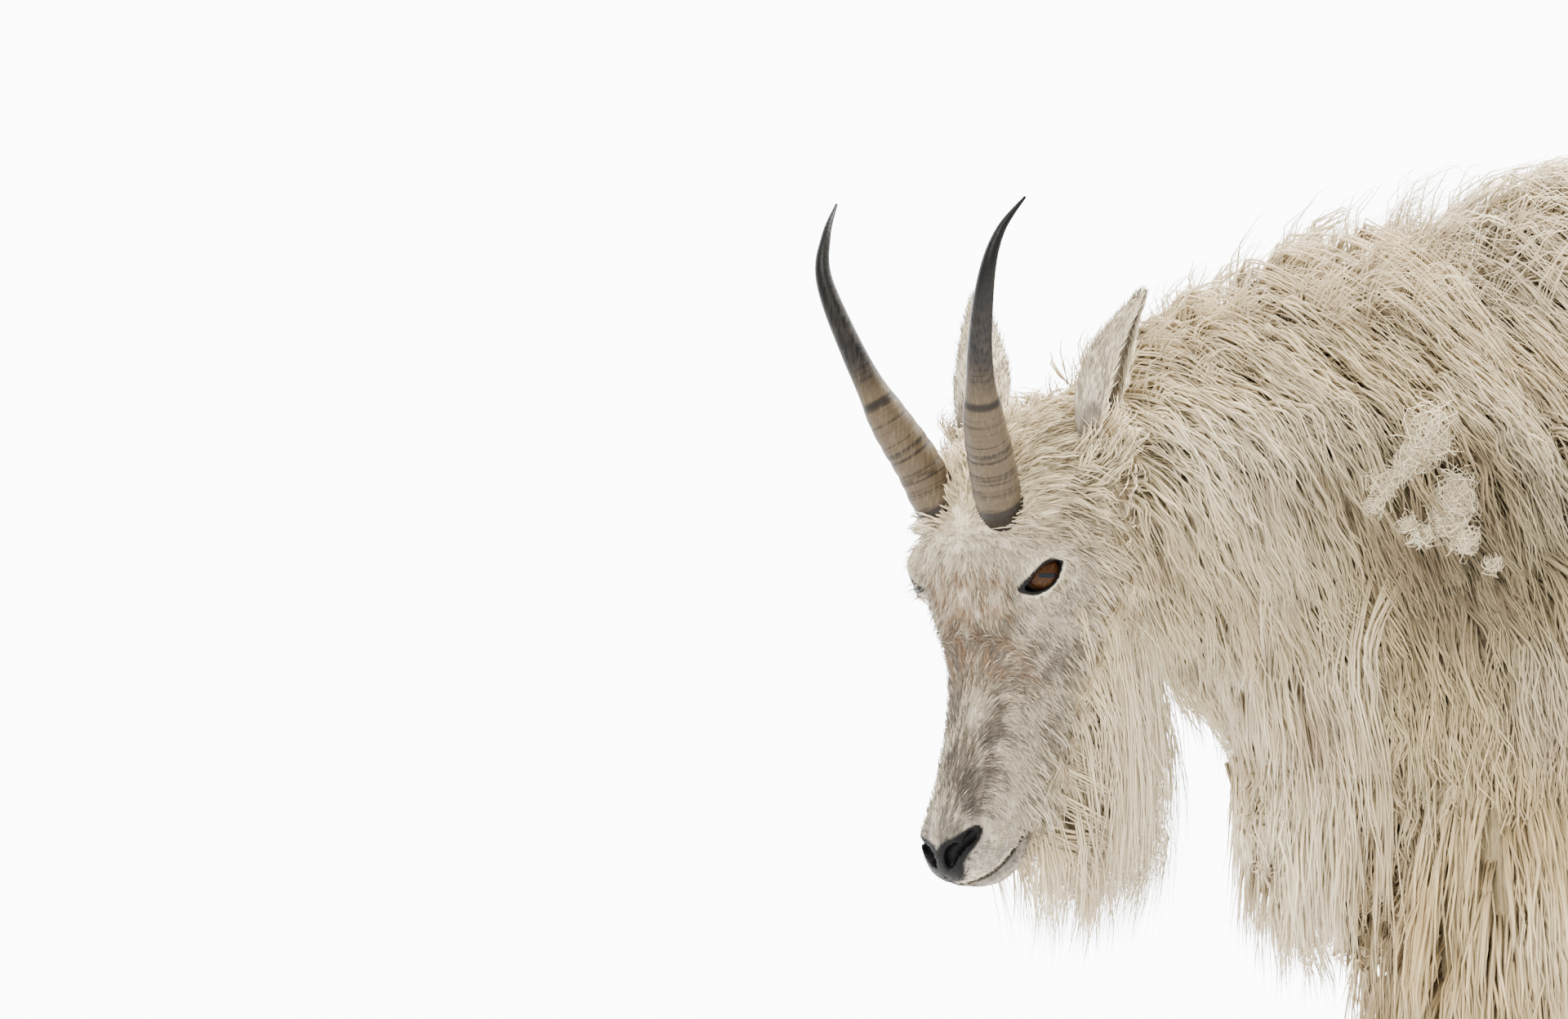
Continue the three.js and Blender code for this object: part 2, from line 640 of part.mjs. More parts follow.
// Nostrils: comma-shaped hollows on the front of the nose, wide above and curling out
function nostril(side) {
  const line = new THREE.CatmullRomCurve3([
    new THREE.Vector3(-193, side * 5, -7),
    new THREE.Vector3(-186, side * 9, -2),
    new THREE.Vector3(-178, side * 17, -4),
    new THREE.Vector3(-169, side * 25, -8),
  ]);
  const radii = [3.6, 5.4, 5, 3.2];
  const steps = 4;
  const sides = 7;
  const frames = line.computeFrenetFrames(steps);
  const rings = [];
  for (let k = 0; k <= steps; k++) {
    const ring = [];
    for (let i = 0; i < sides; i++) {
      const turn = (i / sides) * 2 * Math.PI;
      const radius = along(radii, k / steps);
      const p = line.getPointAt(k / steps);
      p.addScaledVector(frames.normals[k], radius * Math.cos(turn));
      ring.push(p.addScaledVector(frames.binormals[k], radius * Math.sin(turn)));
    }
    rings.push(ring);
  }
  return loft(rings);
}

// A flat outline pushed right through the head from side to side, as far as half to each side
function punch(outline, half) {
  const cutter = new THREE.ExtrudeGeometry(new THREE.Shape(outline), {
    depth: 2 * half,
    bevelEnabled: false,
  });
  cutter.rotateX(Math.PI / 2);
  cutter.translate(0, half, 0);
  return solidOf(cutter);
}

// The line of the mouth: a thin curved slit between the lips, right through
const MOUTH = [
  [210, -18],
  [199, -24],
  [186, -35],
  [172, -45],
  [154, -52],
  [144, -50],
];
const MOUTH_GAP = 1.4;

function mouthSlit() {
  const line = new THREE.SplineCurve(MOUTH.map(([ahead, high]) => new THREE.Vector2(-ahead, high)));
  const steps = 7;
  const points = line.getSpacedPoints(steps);
  const edge = (offset) =>
    points.map((p, i) => {
      const way = line.getTangentAt(i / steps);
      const taper = i === steps ? 0.1 : 1;
      return new THREE.Vector2(p.x - way.y * offset * taper, p.y + way.x * offset * taper);
    });
  const outline = [...edge(MOUTH_GAP / 2), ...edge(-MOUTH_GAP / 2).reverse()];
  return punch(outline, 60);
}

// The groove of the upper lip, from between the nostrils down to the mouth
function lipGroove() {
  const outline = [
    new THREE.Vector2(-208, -8),
    new THREE.Vector2(-192, -4),
    new THREE.Vector2(-198, -26),
    new THREE.Vector2(-208, -24),
  ];
  return punch(outline, 0.9);
}

// Assembly of the solids, in the world's frame
const solids = {};

const headInWorld = (solid) => placed(solid, headMatrix);

const beardCoat = new Coated(beard, 6, [
  ...ringRow(0.12, 4, 0.3, 0.54, 66, 13),
  ...ringRow(0.4, 4, 0, 0.55, 58, 12),
  ...ringRow(0.5, 4, 0.5, 0.49, 50, 11, { root: 0.1 }),
]);

const neckCoat = new Coated(neck, 8, [
  ...sideRow(0.02, 0.1, 0.72, 3, [0.26, 0.06], 104, 28),
  ...sideRow(0.15, 0.12, 0.7, 3, [0.22, 0.13], 112, 24),
  ...sideRow(0.31, 0.2, 0.72, 3, [0.12, 0.14], 110, 22),
]);

const tailCoat = new Coated(tail, 6, ringRow(0.4, 4, 0.5, 0.55, 48, 10));

const trunkCoat = new Coated(trunk, 13, [
  ...sideRow(0.015, 0.18, 0.86, 5, [0.15, 0.04], 104, 36),
  ...sideRow(0.085, 0.2, 0.88, 4, [0.1, 0.17], 168, 28),
  ...sideRow(0.19, 0.16, 0.9, 5, [0.06, 0.18], 160, 27),
  ...sideRow(0.31, 0.1, 0.9, 6, [0.03, 0.15], 142, 26),
  ...sideRow(0.41, 0.07, 0.92, 5, [0.03, 0.09], 140, 26),
  ...sideRow(0.14, 0.92, 0.96, 1, [0.03, 0.18], 110, 20),
]);

const LEGS = {
  fore_left: { x: -312, y: -92, upper: foreUpper, lower: foreLower, claw: 22 },
  fore_right: { x: -276, y: 92, upper: foreUpper, lower: foreLower, claw: 22 },
  hind_left: { x: 392, y: -90, upper: hindUpper, lower: hindLower, claw: 28 },
  hind_right: { x: 346, y: 90, upper: hindUpper, lower: hindLower, claw: 28 },
};
const legLocks = (fore) => [
  ...ringRow(fore ? 0.22 : 0.26, 3, 0.5, 0.42, 130, 20),
  ...ringRow(fore ? 0.46 : 0.5, 4, 0.5, 0.43, 100, 18),
];

// Each piece is cut clear of those before it, by the room that they take up.
const hornsEarsEyes = eachSide((side) => [
  horn(side, JOIN_GAP),
  earRoom(side),
  eye(side, JOIN_GAP),
]).flat();
const faceCuts = [...eachSide(slit), ...eachSide(nostril), mouthSlit(), lipGroove()];
const headWhole = (grow = 0) =>
  joined([
    headInWorld(joined([skull.solid(1, HEAD_RINGS, grow), ...eachSide(lids)])),
    beardCoat.solid(grow),
  ]);

Object.entries(SIDES).forEach(([name, side]) => {
  solids["horn_" + name] = headInWorld(horn(side));
  solids["ear_" + name] = headInWorld(ear(side));
  solids["eye_" + name] = headInWorld(eye(side));
});
const headCuts = headInWorld(joined([...hornsEarsEyes, ...faceCuts]));
solids.head = largest(headWhole().subtract(headCuts));

const headRoom = joined([headWhole(JOIN_GAP), headInWorld(joined(hornsEarsEyes))]);
solids.neck = largest(neckCoat.solid().subtract(headRoom));
const neckRoom = neckCoat.solid(JOIN_GAP);
solids.tail = largest(tailCoat.solid());
const trunkCuts = joined([neckRoom, headRoom, tailCoat.solid(JOIN_GAP)]);
solids.torso = largest(trunkCoat.solid().subtract(trunkCuts));
const trunkRoom = joined([trunkCoat.solid(JOIN_GAP), neckRoom]);

function dewclaw(leg, side, grow = 0) {
  const claw = new THREE.ConeGeometry(9 + grow, 24 + 2 * grow, 8);
  claw.scale(1, 1, 0.75);
  claw.rotateX(-Math.PI / 2);
  claw.rotateY(rad(-32));
  claw.translate(leg.x + leg.claw, leg.y + side * 15, 84);
  return solidOf(claw);
}

Object.entries(LEGS).forEach(([name, leg]) => {
  const { x, y } = leg;
  const toes = { outer: Math.sign(y), inner: -Math.sign(y) };
  const room = [];
  const lower = leg.lower(x, y);
  Object.entries(toes).forEach(([which, side]) => {
    const form = toe(x - 6, y, side);
    solids["hoof_" + name + "_" + which] = form.solid(1, 4);
    solids["dewclaw_" + name + "_" + which] = dewclaw(leg, side);
    room.push(form.solid(1, 4, JOIN_GAP), dewclaw(leg, side, JOIN_GAP));
  });
  solids["leg_" + name + "_lower"] = largest(lower.solid(1, 8).subtract(joined(room)));
  const upper = new Coated(leg.upper(x, y), 8, legLocks(name.startsWith("fore"))).solid();
  const kept = joined([trunkRoom, lower.solid(1, 8, JOIN_GAP)]);
  solids["leg_" + name + "_upper"] = largest(upper.subtract(kept));
});

// The meshes. What sits on the head is placed by the head's own frame.
const COAT = { color: 0xe6dcc4, roughness: 0.95, metalness: 0 };
const FACE = { color: 0xded6c6, roughness: 0.95, metalness: 0 };
const HORN = { color: 0x2c2825, roughness: 0.45, metalness: 0 };
const HOOF = { color: 0x26231f, roughness: 0.6, metalness: 0 };
const EYE = { color: 0x7a4c28, roughness: 0.1, metalness: 0 };
const EAR_COAT = { color: 0xbdb6ab, roughness: 0.95, metalness: 0 };

function finishOf(name) {
  if (name.startsWith("horn")) return HORN;
  if (name.startsWith("hoof") || name.startsWith("dewclaw")) return HOOF;
  if (name.startsWith("eye")) return EYE;
  if (name.startsWith("ear")) return EAR_COAT;
  return name === "head" ? FACE : COAT;
}

const goat = new THREE.Group();
const headGroup = new THREE.Group();
headGroup.applyMatrix4(headMatrix);
goat.add(headGroup);
const headBack = headMatrix.clone().invert();

Object.entries(solids).forEach(([name, solid]) => {
  const onHead = /^(head|horn|ear|eye)/.test(name);
  const shape = geometryOf(onHead ? placed(solid, headBack) : solid);
  const mesh = new THREE.Mesh(shape, new THREE.MeshStandardMaterial(finishOf(name)));
  mesh.name = name;
  (onHead ? headGroup : goat).add(mesh);
});

// The origin is under the middle of the whole goat.
const box = new THREE.Box3().setFromObject(goat, true);
goat.position.set(-(box.min.x + box.max.x) / 2, -(box.min.y + box.max.y) / 2, -box.min.z);

export default goat;
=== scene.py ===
"""A mountain goat, life size, as a still model: skin, coat, eyes, horns and hooves round its solids."""

import math

import bpy
import numpy as np
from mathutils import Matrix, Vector
from mathutils.bvhtree import BVHTree


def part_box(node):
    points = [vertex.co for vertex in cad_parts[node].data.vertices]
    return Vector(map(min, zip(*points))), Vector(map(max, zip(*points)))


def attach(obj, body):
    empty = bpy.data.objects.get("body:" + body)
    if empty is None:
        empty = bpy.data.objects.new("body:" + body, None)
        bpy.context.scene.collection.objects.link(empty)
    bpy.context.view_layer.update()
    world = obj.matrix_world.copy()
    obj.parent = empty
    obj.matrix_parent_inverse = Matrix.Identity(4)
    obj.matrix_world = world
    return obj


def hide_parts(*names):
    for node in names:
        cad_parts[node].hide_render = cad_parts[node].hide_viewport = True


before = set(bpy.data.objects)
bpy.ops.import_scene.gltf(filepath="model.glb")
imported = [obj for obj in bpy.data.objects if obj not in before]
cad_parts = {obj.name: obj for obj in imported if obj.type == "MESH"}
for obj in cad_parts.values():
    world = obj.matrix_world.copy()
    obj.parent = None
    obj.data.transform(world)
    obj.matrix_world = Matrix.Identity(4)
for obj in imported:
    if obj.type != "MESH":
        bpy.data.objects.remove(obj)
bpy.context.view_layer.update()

bl_info = {
    "name": "Mountain goat",
    "version": (1, 0, 0),
    "blender": (4, 5, 0),
    "location": "View3D > Sidebar > Goat",
    "description": "Builds the looks of a life-size mountain goat round its packed solids",
    "category": "Add Mesh",
}

MM = 0.001

# The solids' own sizes, in millimetres, in the frame that they were drawn in
HEAD_AT = np.array([-704.5, -130.0, 700.0])
HEAD_PITCH = math.radians(80)
HEAD_YAW = 27
EYE_RADIUS = 15
EYE_AT = np.array([4.5, -50, -6])
EYE_LOOK = np.array([-0.28, -0.82, 0.5])
EYE_INNER = np.array([-0.75, 0.5, 0.43])
EYE_SLIT = (31, 12.5)
EAR_LENGTH, EAR_WIDTH, EAR_DEPTH, EAR_WALL = 124, 40, 31, 3.2
EAR_ROOT = np.array([79.0, -52, -38])
EAR_TIP = np.array([197.0, -77, -43])
EAR_SHAPE = np.array([0.52, 0.7, 0.88, 1, 0.97, 0.84, 0.66, 0.42, 0.12])
EAR_CUP = np.array([0, 0.3, 0.75, 0.95, 1, 1, 0.9, 0.7, 0])
EAR_OPEN = math.radians(46)
EAR_BOW = 10
HORN_LINE = np.array([
    [38, -26.5, 8], [47.8, -29, 21.2], [69.2, -34, 37.1], [96.9, -44, 61],
    [135.8, -58, 86], [180.3, -74, 104.5], [210.4, -79.5, 102.5], [235, -86, 90],
])
HORN_SHARES = [1, 1, 0.97, 0.86, 0.62, 0.52, 0.45, 0.34, 0.2, 0.06]
SKIN_LAYER = 0.3  # share of the coat's depth at which the skin lies
FACE_LAYER = 0.4
SIDES = {"left": -1, "right": 1}

# The photo's view, with the camera across, up and into the picture, and the light of the stage
CAMERA_TURN = math.radians(18)
CAMERA_AT = (-759.5, 743.8, -5341.3)
CAMERA_LENS, SENSOR_WIDTH = 173.4, 36
SKY = (0.965, 0.98, 1.0, 1)
SKY_POWER = (1.25, 12.0)
# Each lamp: its place, size and power
LAMPS = {"key": ((-2.4, -2.8, 3.4), 1.4, 330), "sun": ((1.3, 0.4, 3.6), 0.8, 700)}
LAMP_TONE = (1.0, 0.96, 0.9)
LAMP_AIM = Vector((-0.35, 0, 0.7))
FLOOR_RADIUS, FLOOR_SIDES = 5, 96


def unit(v):
    v = np.asarray(v, float)
    return v / np.maximum(np.linalg.norm(v, axis=-1, keepdims=True), 1e-9)


def turning(axis, angle):
    c, s = math.cos(angle), math.sin(angle)
    if axis == "z":
        return np.array([[c, -s, 0], [s, c, 0], [0, 0, 1]])
    return np.array([[c, 0, s], [0, 1, 0], [-s, 0, c]])


def ease(x):
    x = np.clip(x, 0, 1)
    return x * x * (3 - 2 * x)


def rise(x, start, over):
    """0 up to start and 1 from start + over on, smooth between."""
    return ease((x - start) / over)


def fall(x, start, over):
    """1 up to start and 0 from start + over on, smooth between."""
    return 1 - rise(x, start, over)


def circle(sides):
    """Evenly spaced angles, once round."""
    return np.arange(sides) / sides * 2 * math.pi


def to_each(change, paths):
    """A change of points, made to every point of some paths."""
    return change(paths.reshape(-1, 3)).reshape(paths.shape)


HEAD_TURN = turning("z", math.radians(HEAD_YAW)) @ turning("y", -HEAD_PITCH)


def from_head(points):
    """From the head's own frame, with -X to the nose and the eyes at 0, to the drawing's."""
    points = np.asarray(points, float)
    return (points + nose_move(points)) @ HEAD_TURN.T + HEAD_AT


def into_head(points):
    moved = (np.asarray(points) - HEAD_AT) @ HEAD_TURN
    return moved - nose_move(moved - nose_move(moved))


def nose_move(points):
    """How much higher than its sections the muzzle is set."""
    return ease((-points[..., :1] - 55) / 120) * [0, 0, 6]


def mirrored(points, side):
    """A shape of the left side, or its mirror image on the right."""
    points = np.array(points, float)
    points[..., 1] *= -np.ravel(side) if np.ndim(side) else -side
    return points


def eye_axes():
    look = unit(EYE_LOOK)
    inner = unit(EYE_INNER - look * (EYE_INNER @ look))
    return np.stack([inner, np.cross(look, inner), look])


EYE_AXES = eye_axes()


def from_eye(points, side):
    """From the eye's own frame, with +X to its inner corner and +Z along its look, to the head's."""
    return mirrored(np.asarray(points) @ EYE_AXES + EYE_AT, side)


def into_eye(points, side):
    return (mirrored(points, side) - EYE_AT) @ EYE_AXES.T


def drawn_shift():
    """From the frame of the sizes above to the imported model's, found from the eyes' boxes."""
    moves = []
    for name, side in SIDES.items():
        low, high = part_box("eye_" + name)
        moves.append(np.array((low + high) / 2) / MM - from_head(mirrored(EYE_AT, side)))
    return np.mean(moves, axis=0)


SHIFT = drawn_shift()


def to_world(points):
    """From the drawing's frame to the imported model's, in metres."""
    return (np.asarray(points) + SHIFT) * MM


def through(a, b, c, d, f):
    """A smooth line through four values, between the second and the third."""
    slope_in, slope_out = (c - a) / 2, (d - b) / 2
    f2, f3 = f * f, f * f * f
    start = (2 * f3 - 3 * f2 + 1) * b + (f3 - 2 * f2 + f) * slope_in
    return start + (3 * f2 - 2 * f3) * c + (f3 - f2) * slope_out


def along(table, s):
    """The rows of an evenly spaced table at each s from 0 to 1."""
    table = np.asarray(table, float)
    last = len(table) - 1
    x = np.clip(s, 0, 1) * last
    i = np.minimum(np.floor(x).astype(int), last - 1)
    f = (x - i).reshape(-1, *[1] * (table.ndim - 1))
    a, b, c, d = (table[np.clip(i + k, 0, last)] for k in (-1, 0, 1, 2))
    return through(a, b, c, d, f)


BODY_LEVELS = [0.55, 0, -0.6]
HEAD_LEVELS = [0.8, 0.3, -0.3, -0.8]


class Form:
    """A limb or trunk described by sections, as in the solids: a centre, the yaw and tilt of its up
    direction, and how far flesh and coat reach: up, down, and sideways at each level. patch is its
    own rectangle of the unwrap."""

    def __init__(self, rows, patch, levels=BODY_LEVELS):
        self.levels = levels
        self.at = np.array([row[0] for row in rows], float)
        self.angles = np.radians([row[1] for row in rows])
        self.flesh = np.array([row[2] for row in rows], float)
        self.coat = np.array([row[3] for row in rows], float)
        self.patch = patch

    def centre(self, s):
        step = (self.at[-1] - self.at[-2]) * (len(self.at) - 1)
        return along(self.at, s) + step * np.maximum(s - 1, 0)[:, None]

    def points(self, s, turn, layer):
        """Points at s along the form and turn round it, from 0 at the top through the left side."""
        s, turn, layer = (np.ravel(a).astype(float) for a in np.broadcast_arrays(s, turn, layer))
        flesh = along(self.flesh, s)
        size = flesh + (along(self.coat, s) - flesh) * layer[:, None]
        up, down, widths = size[:, 0], size[:, 1], size[:, 2:].T
        highs = [level * (up if level > 0 else down) for level in self.levels]
        none = np.zeros_like(s)
        across = np.stack([none, *widths, none, *(-widths[::-1])])
        high = np.stack([up, *highs, -down, *highs[::-1]])
        count = len(across)
        x = (turn % 1) * count
        i = np.floor(x).astype(int)
        each = np.arange(len(s))
        reach = [
            through(*(side[(i + k) % count, each] for k in (-1, 0, 1, 2)), x - i)
            for side in (across, high)
        ]
        yaw, tilt = along(self.angles, s).T
        ahead = np.stack([-np.cos(yaw), -np.sin(yaw), none], 1)
        left = np.stack([np.sin(yaw), -np.cos(yaw), none], 1)
        upward = ahead * np.sin(tilt)[:, None]
        upward[:, 2] = np.cos(tilt)
        return self.centre(s) + left * reach[0][:, None] + upward * reach[1][:, None]

    def unwrap(self, s, turn):
        u0, v0, u1, v1 = self.patch
        s, turn = np.clip(s, 0, 1), turn % 1
        return np.stack([u0 + (u1 - u0) * s, v0 + (v1 - v0) * turn], 1)


def shell(form, layer, rings, sides):
    """A closed mesh of a form at one layer: its points and its quads, with a fan over each end."""
    s = np.repeat(np.linspace(0, 1, rings), sides)
    turn = np.tile(np.arange(sides) / sides, rings)
    return tube(form.points(s, turn, layer).reshape(rings, sides, 3))


def tube(rings):
    """A closed mesh through rings of points: its points, and its quads and end fans."""
    count, sides = rings.shape[:2]
    points = np.concatenate([rings.reshape(-1, 3), rings[[0, -1]].mean(axis=1)])
    k, i = np.meshgrid(np.arange(count - 1), np.arange(sides), indexing="ij")
    a, b = k * sides + i, k * sides + (i + 1) % sides
    quads = np.stack([a, b, b + sides, a + sides], -1).reshape(-1, 4)
    i = np.arange(sides)
    j = (i + 1) % sides
    last = (count - 1) * sides
    head = np.stack([np.full(sides, count * sides), j, i], 1)
    foot = np.stack([np.full(sides, count * sides + 1), last + i, last + j], 1)
    return points, [quads, np.concatenate([head, foot])]


def volume_sign(points, faces):
    total = 0.0
    for block in faces:
        a = points[block[:, 0]]
        for k in range(1, block.shape[1] - 1):
            total += np.einsum("ij,ij->", a, np.cross(points[block[:, k]], points[block[:, k + 1]]))
    return total


def outward(points, faces):
    """The same mesh with its faces turned outwards."""
    if volume_sign(points - points.mean(axis=0), faces) > 0:
        return points, faces
    return points, [block[:, ::-1] for block in faces]


def together(parts):
    """Several meshes as one list of points and faces."""
    points, tris, quads, start = [], [], [], 0
    for part_points, faces in parts:
        points.append(part_points)
        for block in faces:
            (tris if block.shape[1] == 3 else quads).append(block + start)
        start += len(part_points)
    return np.concatenate(points), [np.concatenate(b) for b in (tris, quads) if b]


def mesh_of(name, points, faces):
    mesh = bpy.data.meshes.new(name)
    mesh.vertices.add(len(points))
    mesh.vertices.foreach_set("co", np.ascontiguousarray(points, np.float32).ravel())
    corners = np.concatenate([block.ravel() for block in faces]).astype(np.int32)
    sizes = np.concatenate([np.full(len(block), block.shape[1]) for block in faces])
    mesh.loops.add(len(corners))
    mesh.loops.foreach_set("vertex_index", corners)
    mesh.polygons.add(len(sizes))
    starts = np.concatenate([[0], np.cumsum(sizes)[:-1]]).astype(np.int32)
    mesh.polygons.foreach_set("loop_start", starts)
    mesh.update(calc_edges=True)
    mesh.polygons.foreach_set("use_smooth", np.ones(len(sizes), bool))
    return mesh


def linked(name, data):
    """A new object of the scene."""
    made = bpy.data.objects.new(name, data)
    bpy.context.scene.collection.objects.link(made)
    return made


def object_of(name, points, faces):
    """An object whose points are given in millimetres in the drawing's frame."""
    return linked(name, mesh_of(name, to_world(points), faces))


def plain_mesh(made):
    """The mesh that an object's modifiers make of it."""
    bpy.context.view_layer.update()
    graph = bpy.context.evaluated_depsgraph_get()
    return bpy.data.meshes.new_from_object(made.evaluated_get(graph))


def finished(made):
    """Turns an object and its modifiers into a plain mesh."""
    mesh = plain_mesh(made)
    made.modifiers.clear()
    made.data = mesh
    return made


def points_of(mesh):
    co = np.zeros(len(mesh.vertices) * 3, np.float32)
    mesh.vertices.foreach_get("co", co)
    return co.reshape(-1, 3).astype(float) / MM - SHIFT


def paint(mesh, name, colours):
    """A colour for each point."""
    layer = mesh.attributes.new(name, "FLOAT_COLOR", "POINT")
    full = np.ones((len(colours), 4), np.float32)
    full[:, :3] = colours
    layer.data.foreach_set("color", full.ravel())


def write(mesh, name, values, kind="FLOAT_VECTOR", field="vector"):
    """A vector for each point, or with the other kind and field a number."""
    layer = mesh.attributes.new(name, kind, "POINT")
    layer.data.foreach_set(field, np.asarray(values, np.float32).ravel())


def write_uv(mesh, name, uv):
    layer = mesh.uv_layers.new(name=name)
    corners = np.zeros(len(mesh.loops), np.int32)
    mesh.loops.foreach_get("vertex_index", corners)
    layer.data.foreach_set("uv", np.ascontiguousarray(uv[corners], np.float32).ravel())


# Sections: centre, yaw and tilt, flesh and coat (up, down, and sideways at three levels)
TRUNK = Form([
    ([x, 0, z], (0, 0), flesh, coat) for x, z, flesh, coat in [
        (-462, 560, [10, 10, 6, 8, 6], [20, 30, 12, 18, 14]),
        (-440, 600, [80, 55, 40, 52, 34], [150, 128, 54, 74, 50]),
        (-392, 650, [130, 118, 60, 84, 58], [262, 216, 78, 124, 80]),
        (-330, 680, [180, 176, 68, 114, 94], [286, 258, 88, 160, 128]),
        (-240, 690, [212, 194, 68, 132, 110], [304, 275, 92, 180, 150]),
        (-120, 690, [196, 192, 78, 142, 106], [282, 274, 108, 190, 146]),
        (0, 690, [178, 188, 94, 149, 116], [256, 281, 126, 196, 150]),
        (120, 690, [172, 182, 98, 150, 116], [240, 280, 132, 197, 150]),
        (230, 695, [166, 164, 98, 144, 116], [222, 262, 132, 191, 152]),
        (330, 700, [156, 138, 92, 136, 112], [205, 226, 126, 183, 150]),
        (420, 705, [128, 104, 76, 118, 96], [172, 180, 106, 164, 132]),
        (485, 712, [88, 66, 50, 84, 48], [122, 130, 74, 128, 84]),
        (520, 718, [40, 32, 24, 40, 24], [72, 84, 42, 78, 50]),
        (534, 720, [5, 5, 3, 5, 3], [12, 14, 8, 12, 8]),
    ]
], (0.5, 0.0, 1.0, 0.5))
NECK = Form([
    ([-655, -104, 742], (27, 44), [50, 48, 34, 46, 34], [70, 60, 44, 60, 46]),
    ([-624, -89, 750], (24, 39), [56, 62, 36, 50, 38], [80, 96, 50, 70, 52]),
    ([-560, -62, 768], (20, 28), [62, 82, 40, 58, 46], [94, 150, 60, 86, 64]),
    ([-480, -34, 778], (14, 20), [72, 140, 46, 72, 58], [124, 222, 72, 108, 78]),
    ([-400, -14, 772], (8, 15), [92, 190, 54, 92, 70], [164, 282, 82, 132, 92]),
    ([-330, -4, 755], (3, 12), [116, 196, 60, 104, 76], [208, 290, 86, 148, 96]),
    ([-280, 0, 745], (0, 10), [120, 180, 56, 98, 70], [205, 262, 74, 132, 84]),
], (0.25, 0.0, 0.5, 0.5))
TAIL = Form([
    ([x, 0, z], (0, tilt), flesh, coat) for x, z, tilt, flesh, coat in [
        (478, 806, -10, [14, 14, 10, 16, 10], [24, 24, 18, 28, 18]),
        (512, 800, -30, [13, 13, 10, 16, 10], [30, 30, 26, 36, 26]),
        (542, 776, -60, [11, 11, 9, 14, 9], [32, 36, 30, 42, 30]),
        (558, 738, -76, [9, 9, 7, 11, 7], [32, 40, 30, 42, 30]),
        (563, 698, -84, [6, 6, 5, 8, 5], [25, 34, 24, 34, 24]),
        (564, 660, -88, [4, 4, 3, 5, 3], [14, 18, 13, 18, 13]),
        (564, 634, -90, [2, 2, 1.5, 2, 1.5], [4, 5, 3, 4, 3]),
    ]
], (0.9, 0.5, 1.0, 0.75))
FORE_UPPER = [
    (12, 596, [48, 50, 24, 30, 24], [52, 54, 26, 32, 26]),
    (12, 535, [50, 54, 28, 36, 28], [84, 80, 44, 58, 44]),
    (9, 470, [42, 45, 27, 33, 27], [92, 84, 52, 68, 54]),
    (5, 400, [35, 37, 23, 29, 23], [85, 80, 50, 65, 52]),
    (0, 330, [30, 31, 21, 26, 21], [72, 70, 45, 57, 46]),
    (-4, 265, [28, 27, 21, 26, 21], [50, 50, 36, 43, 36]),
    (-2, 222, [23, 23, 17, 22, 17], [25, 26, 19, 24, 19]),
]
HIND_UPPER = [
    (-62, 668, [76, 72, 30, 38, 30], [82, 78, 34, 42, 34]),
    (-68, 605, [96, 90, 44, 54, 42], [118, 118, 60, 74, 58]),
    (-62, 545, [80, 80, 40, 48, 36], [114, 122, 64, 80, 62]),
    (-36, 480, [58, 60, 30, 36, 28], [94, 112, 56, 70, 56]),
    (-8, 420, [43, 47, 25, 30, 24], [78, 98, 48, 60, 48]),
    (14, 362, [34, 38, 20, 25, 19], [62, 80, 40, 50, 40]),
    (20, 310, [28, 32, 18, 22, 17], [44, 52, 30, 38, 30]),
    (17, 268, [23, 24, 16, 20, 16], [25, 27, 18, 22, 18]),
]
HIND_UPPER_OUT = [6, 5, 5, 3, 0, 0, 0, 0]
FORE_LOWER = [
    (-3, 262, [18, 18, 13, 17, 13], [18, 18, 13, 17, 13]),
    (-2, 212, [17, 17, 13, 17, 13], [21, 22, 16, 21, 16]),
    (0, 150, [15, 16, 12, 15, 12], [19, 20, 15, 19, 15]),
    (1, 105, [20, 24, 18, 22, 18], [24, 30, 22, 26, 22]),
    (-6, 70, [19, 20, 18, 21, 18], [23, 26, 22, 25, 22]),
    (-14, 44, [27, 24, 22, 27, 24], [31, 30, 25, 30, 26]),
    (-16, 34, [30, 26, 24, 29, 26], [32, 30, 25, 30, 27]),
]
HIND_LOWER = [
    (18, 310, [20, 22, 12, 16, 12], [20, 22, 12, 16, 12]),
    (14, 255, [18, 19, 12, 16, 12], [22, 24, 15, 20, 15]),
    (8, 165, [15, 17, 12, 15, 12], [19, 22, 15, 19, 15]),
    (6, 105, [20, 24, 17, 21, 17], [24, 30, 21, 25, 21]),
    (-2, 70, [18, 20, 17, 20, 17], [22, 26, 21, 24, 21]),
    (-11, 44, [26, 24, 21, 26, 23], [30, 30, 24, 29, 25]),
    (-13, 34, [29, 26, 23, 28, 25], [31, 30, 24, 29, 26]),
]
LEGS = {
    "fore_left": (-312, -92, 22),
    "fore_right": (-276, 92, 22),
    "hind_left": (392, -90, 28),
    "hind_right": (346, 90, 28),
}


def leg_form(name, upper):
    """A leg's form, upper with chaps or lower with short hair."""
    x, y, _ = LEGS[name]
    fore = name.startswith("fore")
    if upper:
        rows = FORE_UPPER if fore else HIND_UPPER
    else:
        rows = FORE_LOWER if fore else HIND_LOWER
    out = HIND_UPPER_OUT if upper and not fore else [0] * len(rows)
    number = list(LEGS).index(name)
    left = 0.1 * number + (0 if upper else 0.4)
    sections = [
        ([x + back, y + dy, z], (0, 90), flesh, coat)
        for (back, z, flesh, coat), dy in zip(rows, out)
    ]
    return Form(sections, (left, 0.5, left + 0.1, 0.75))


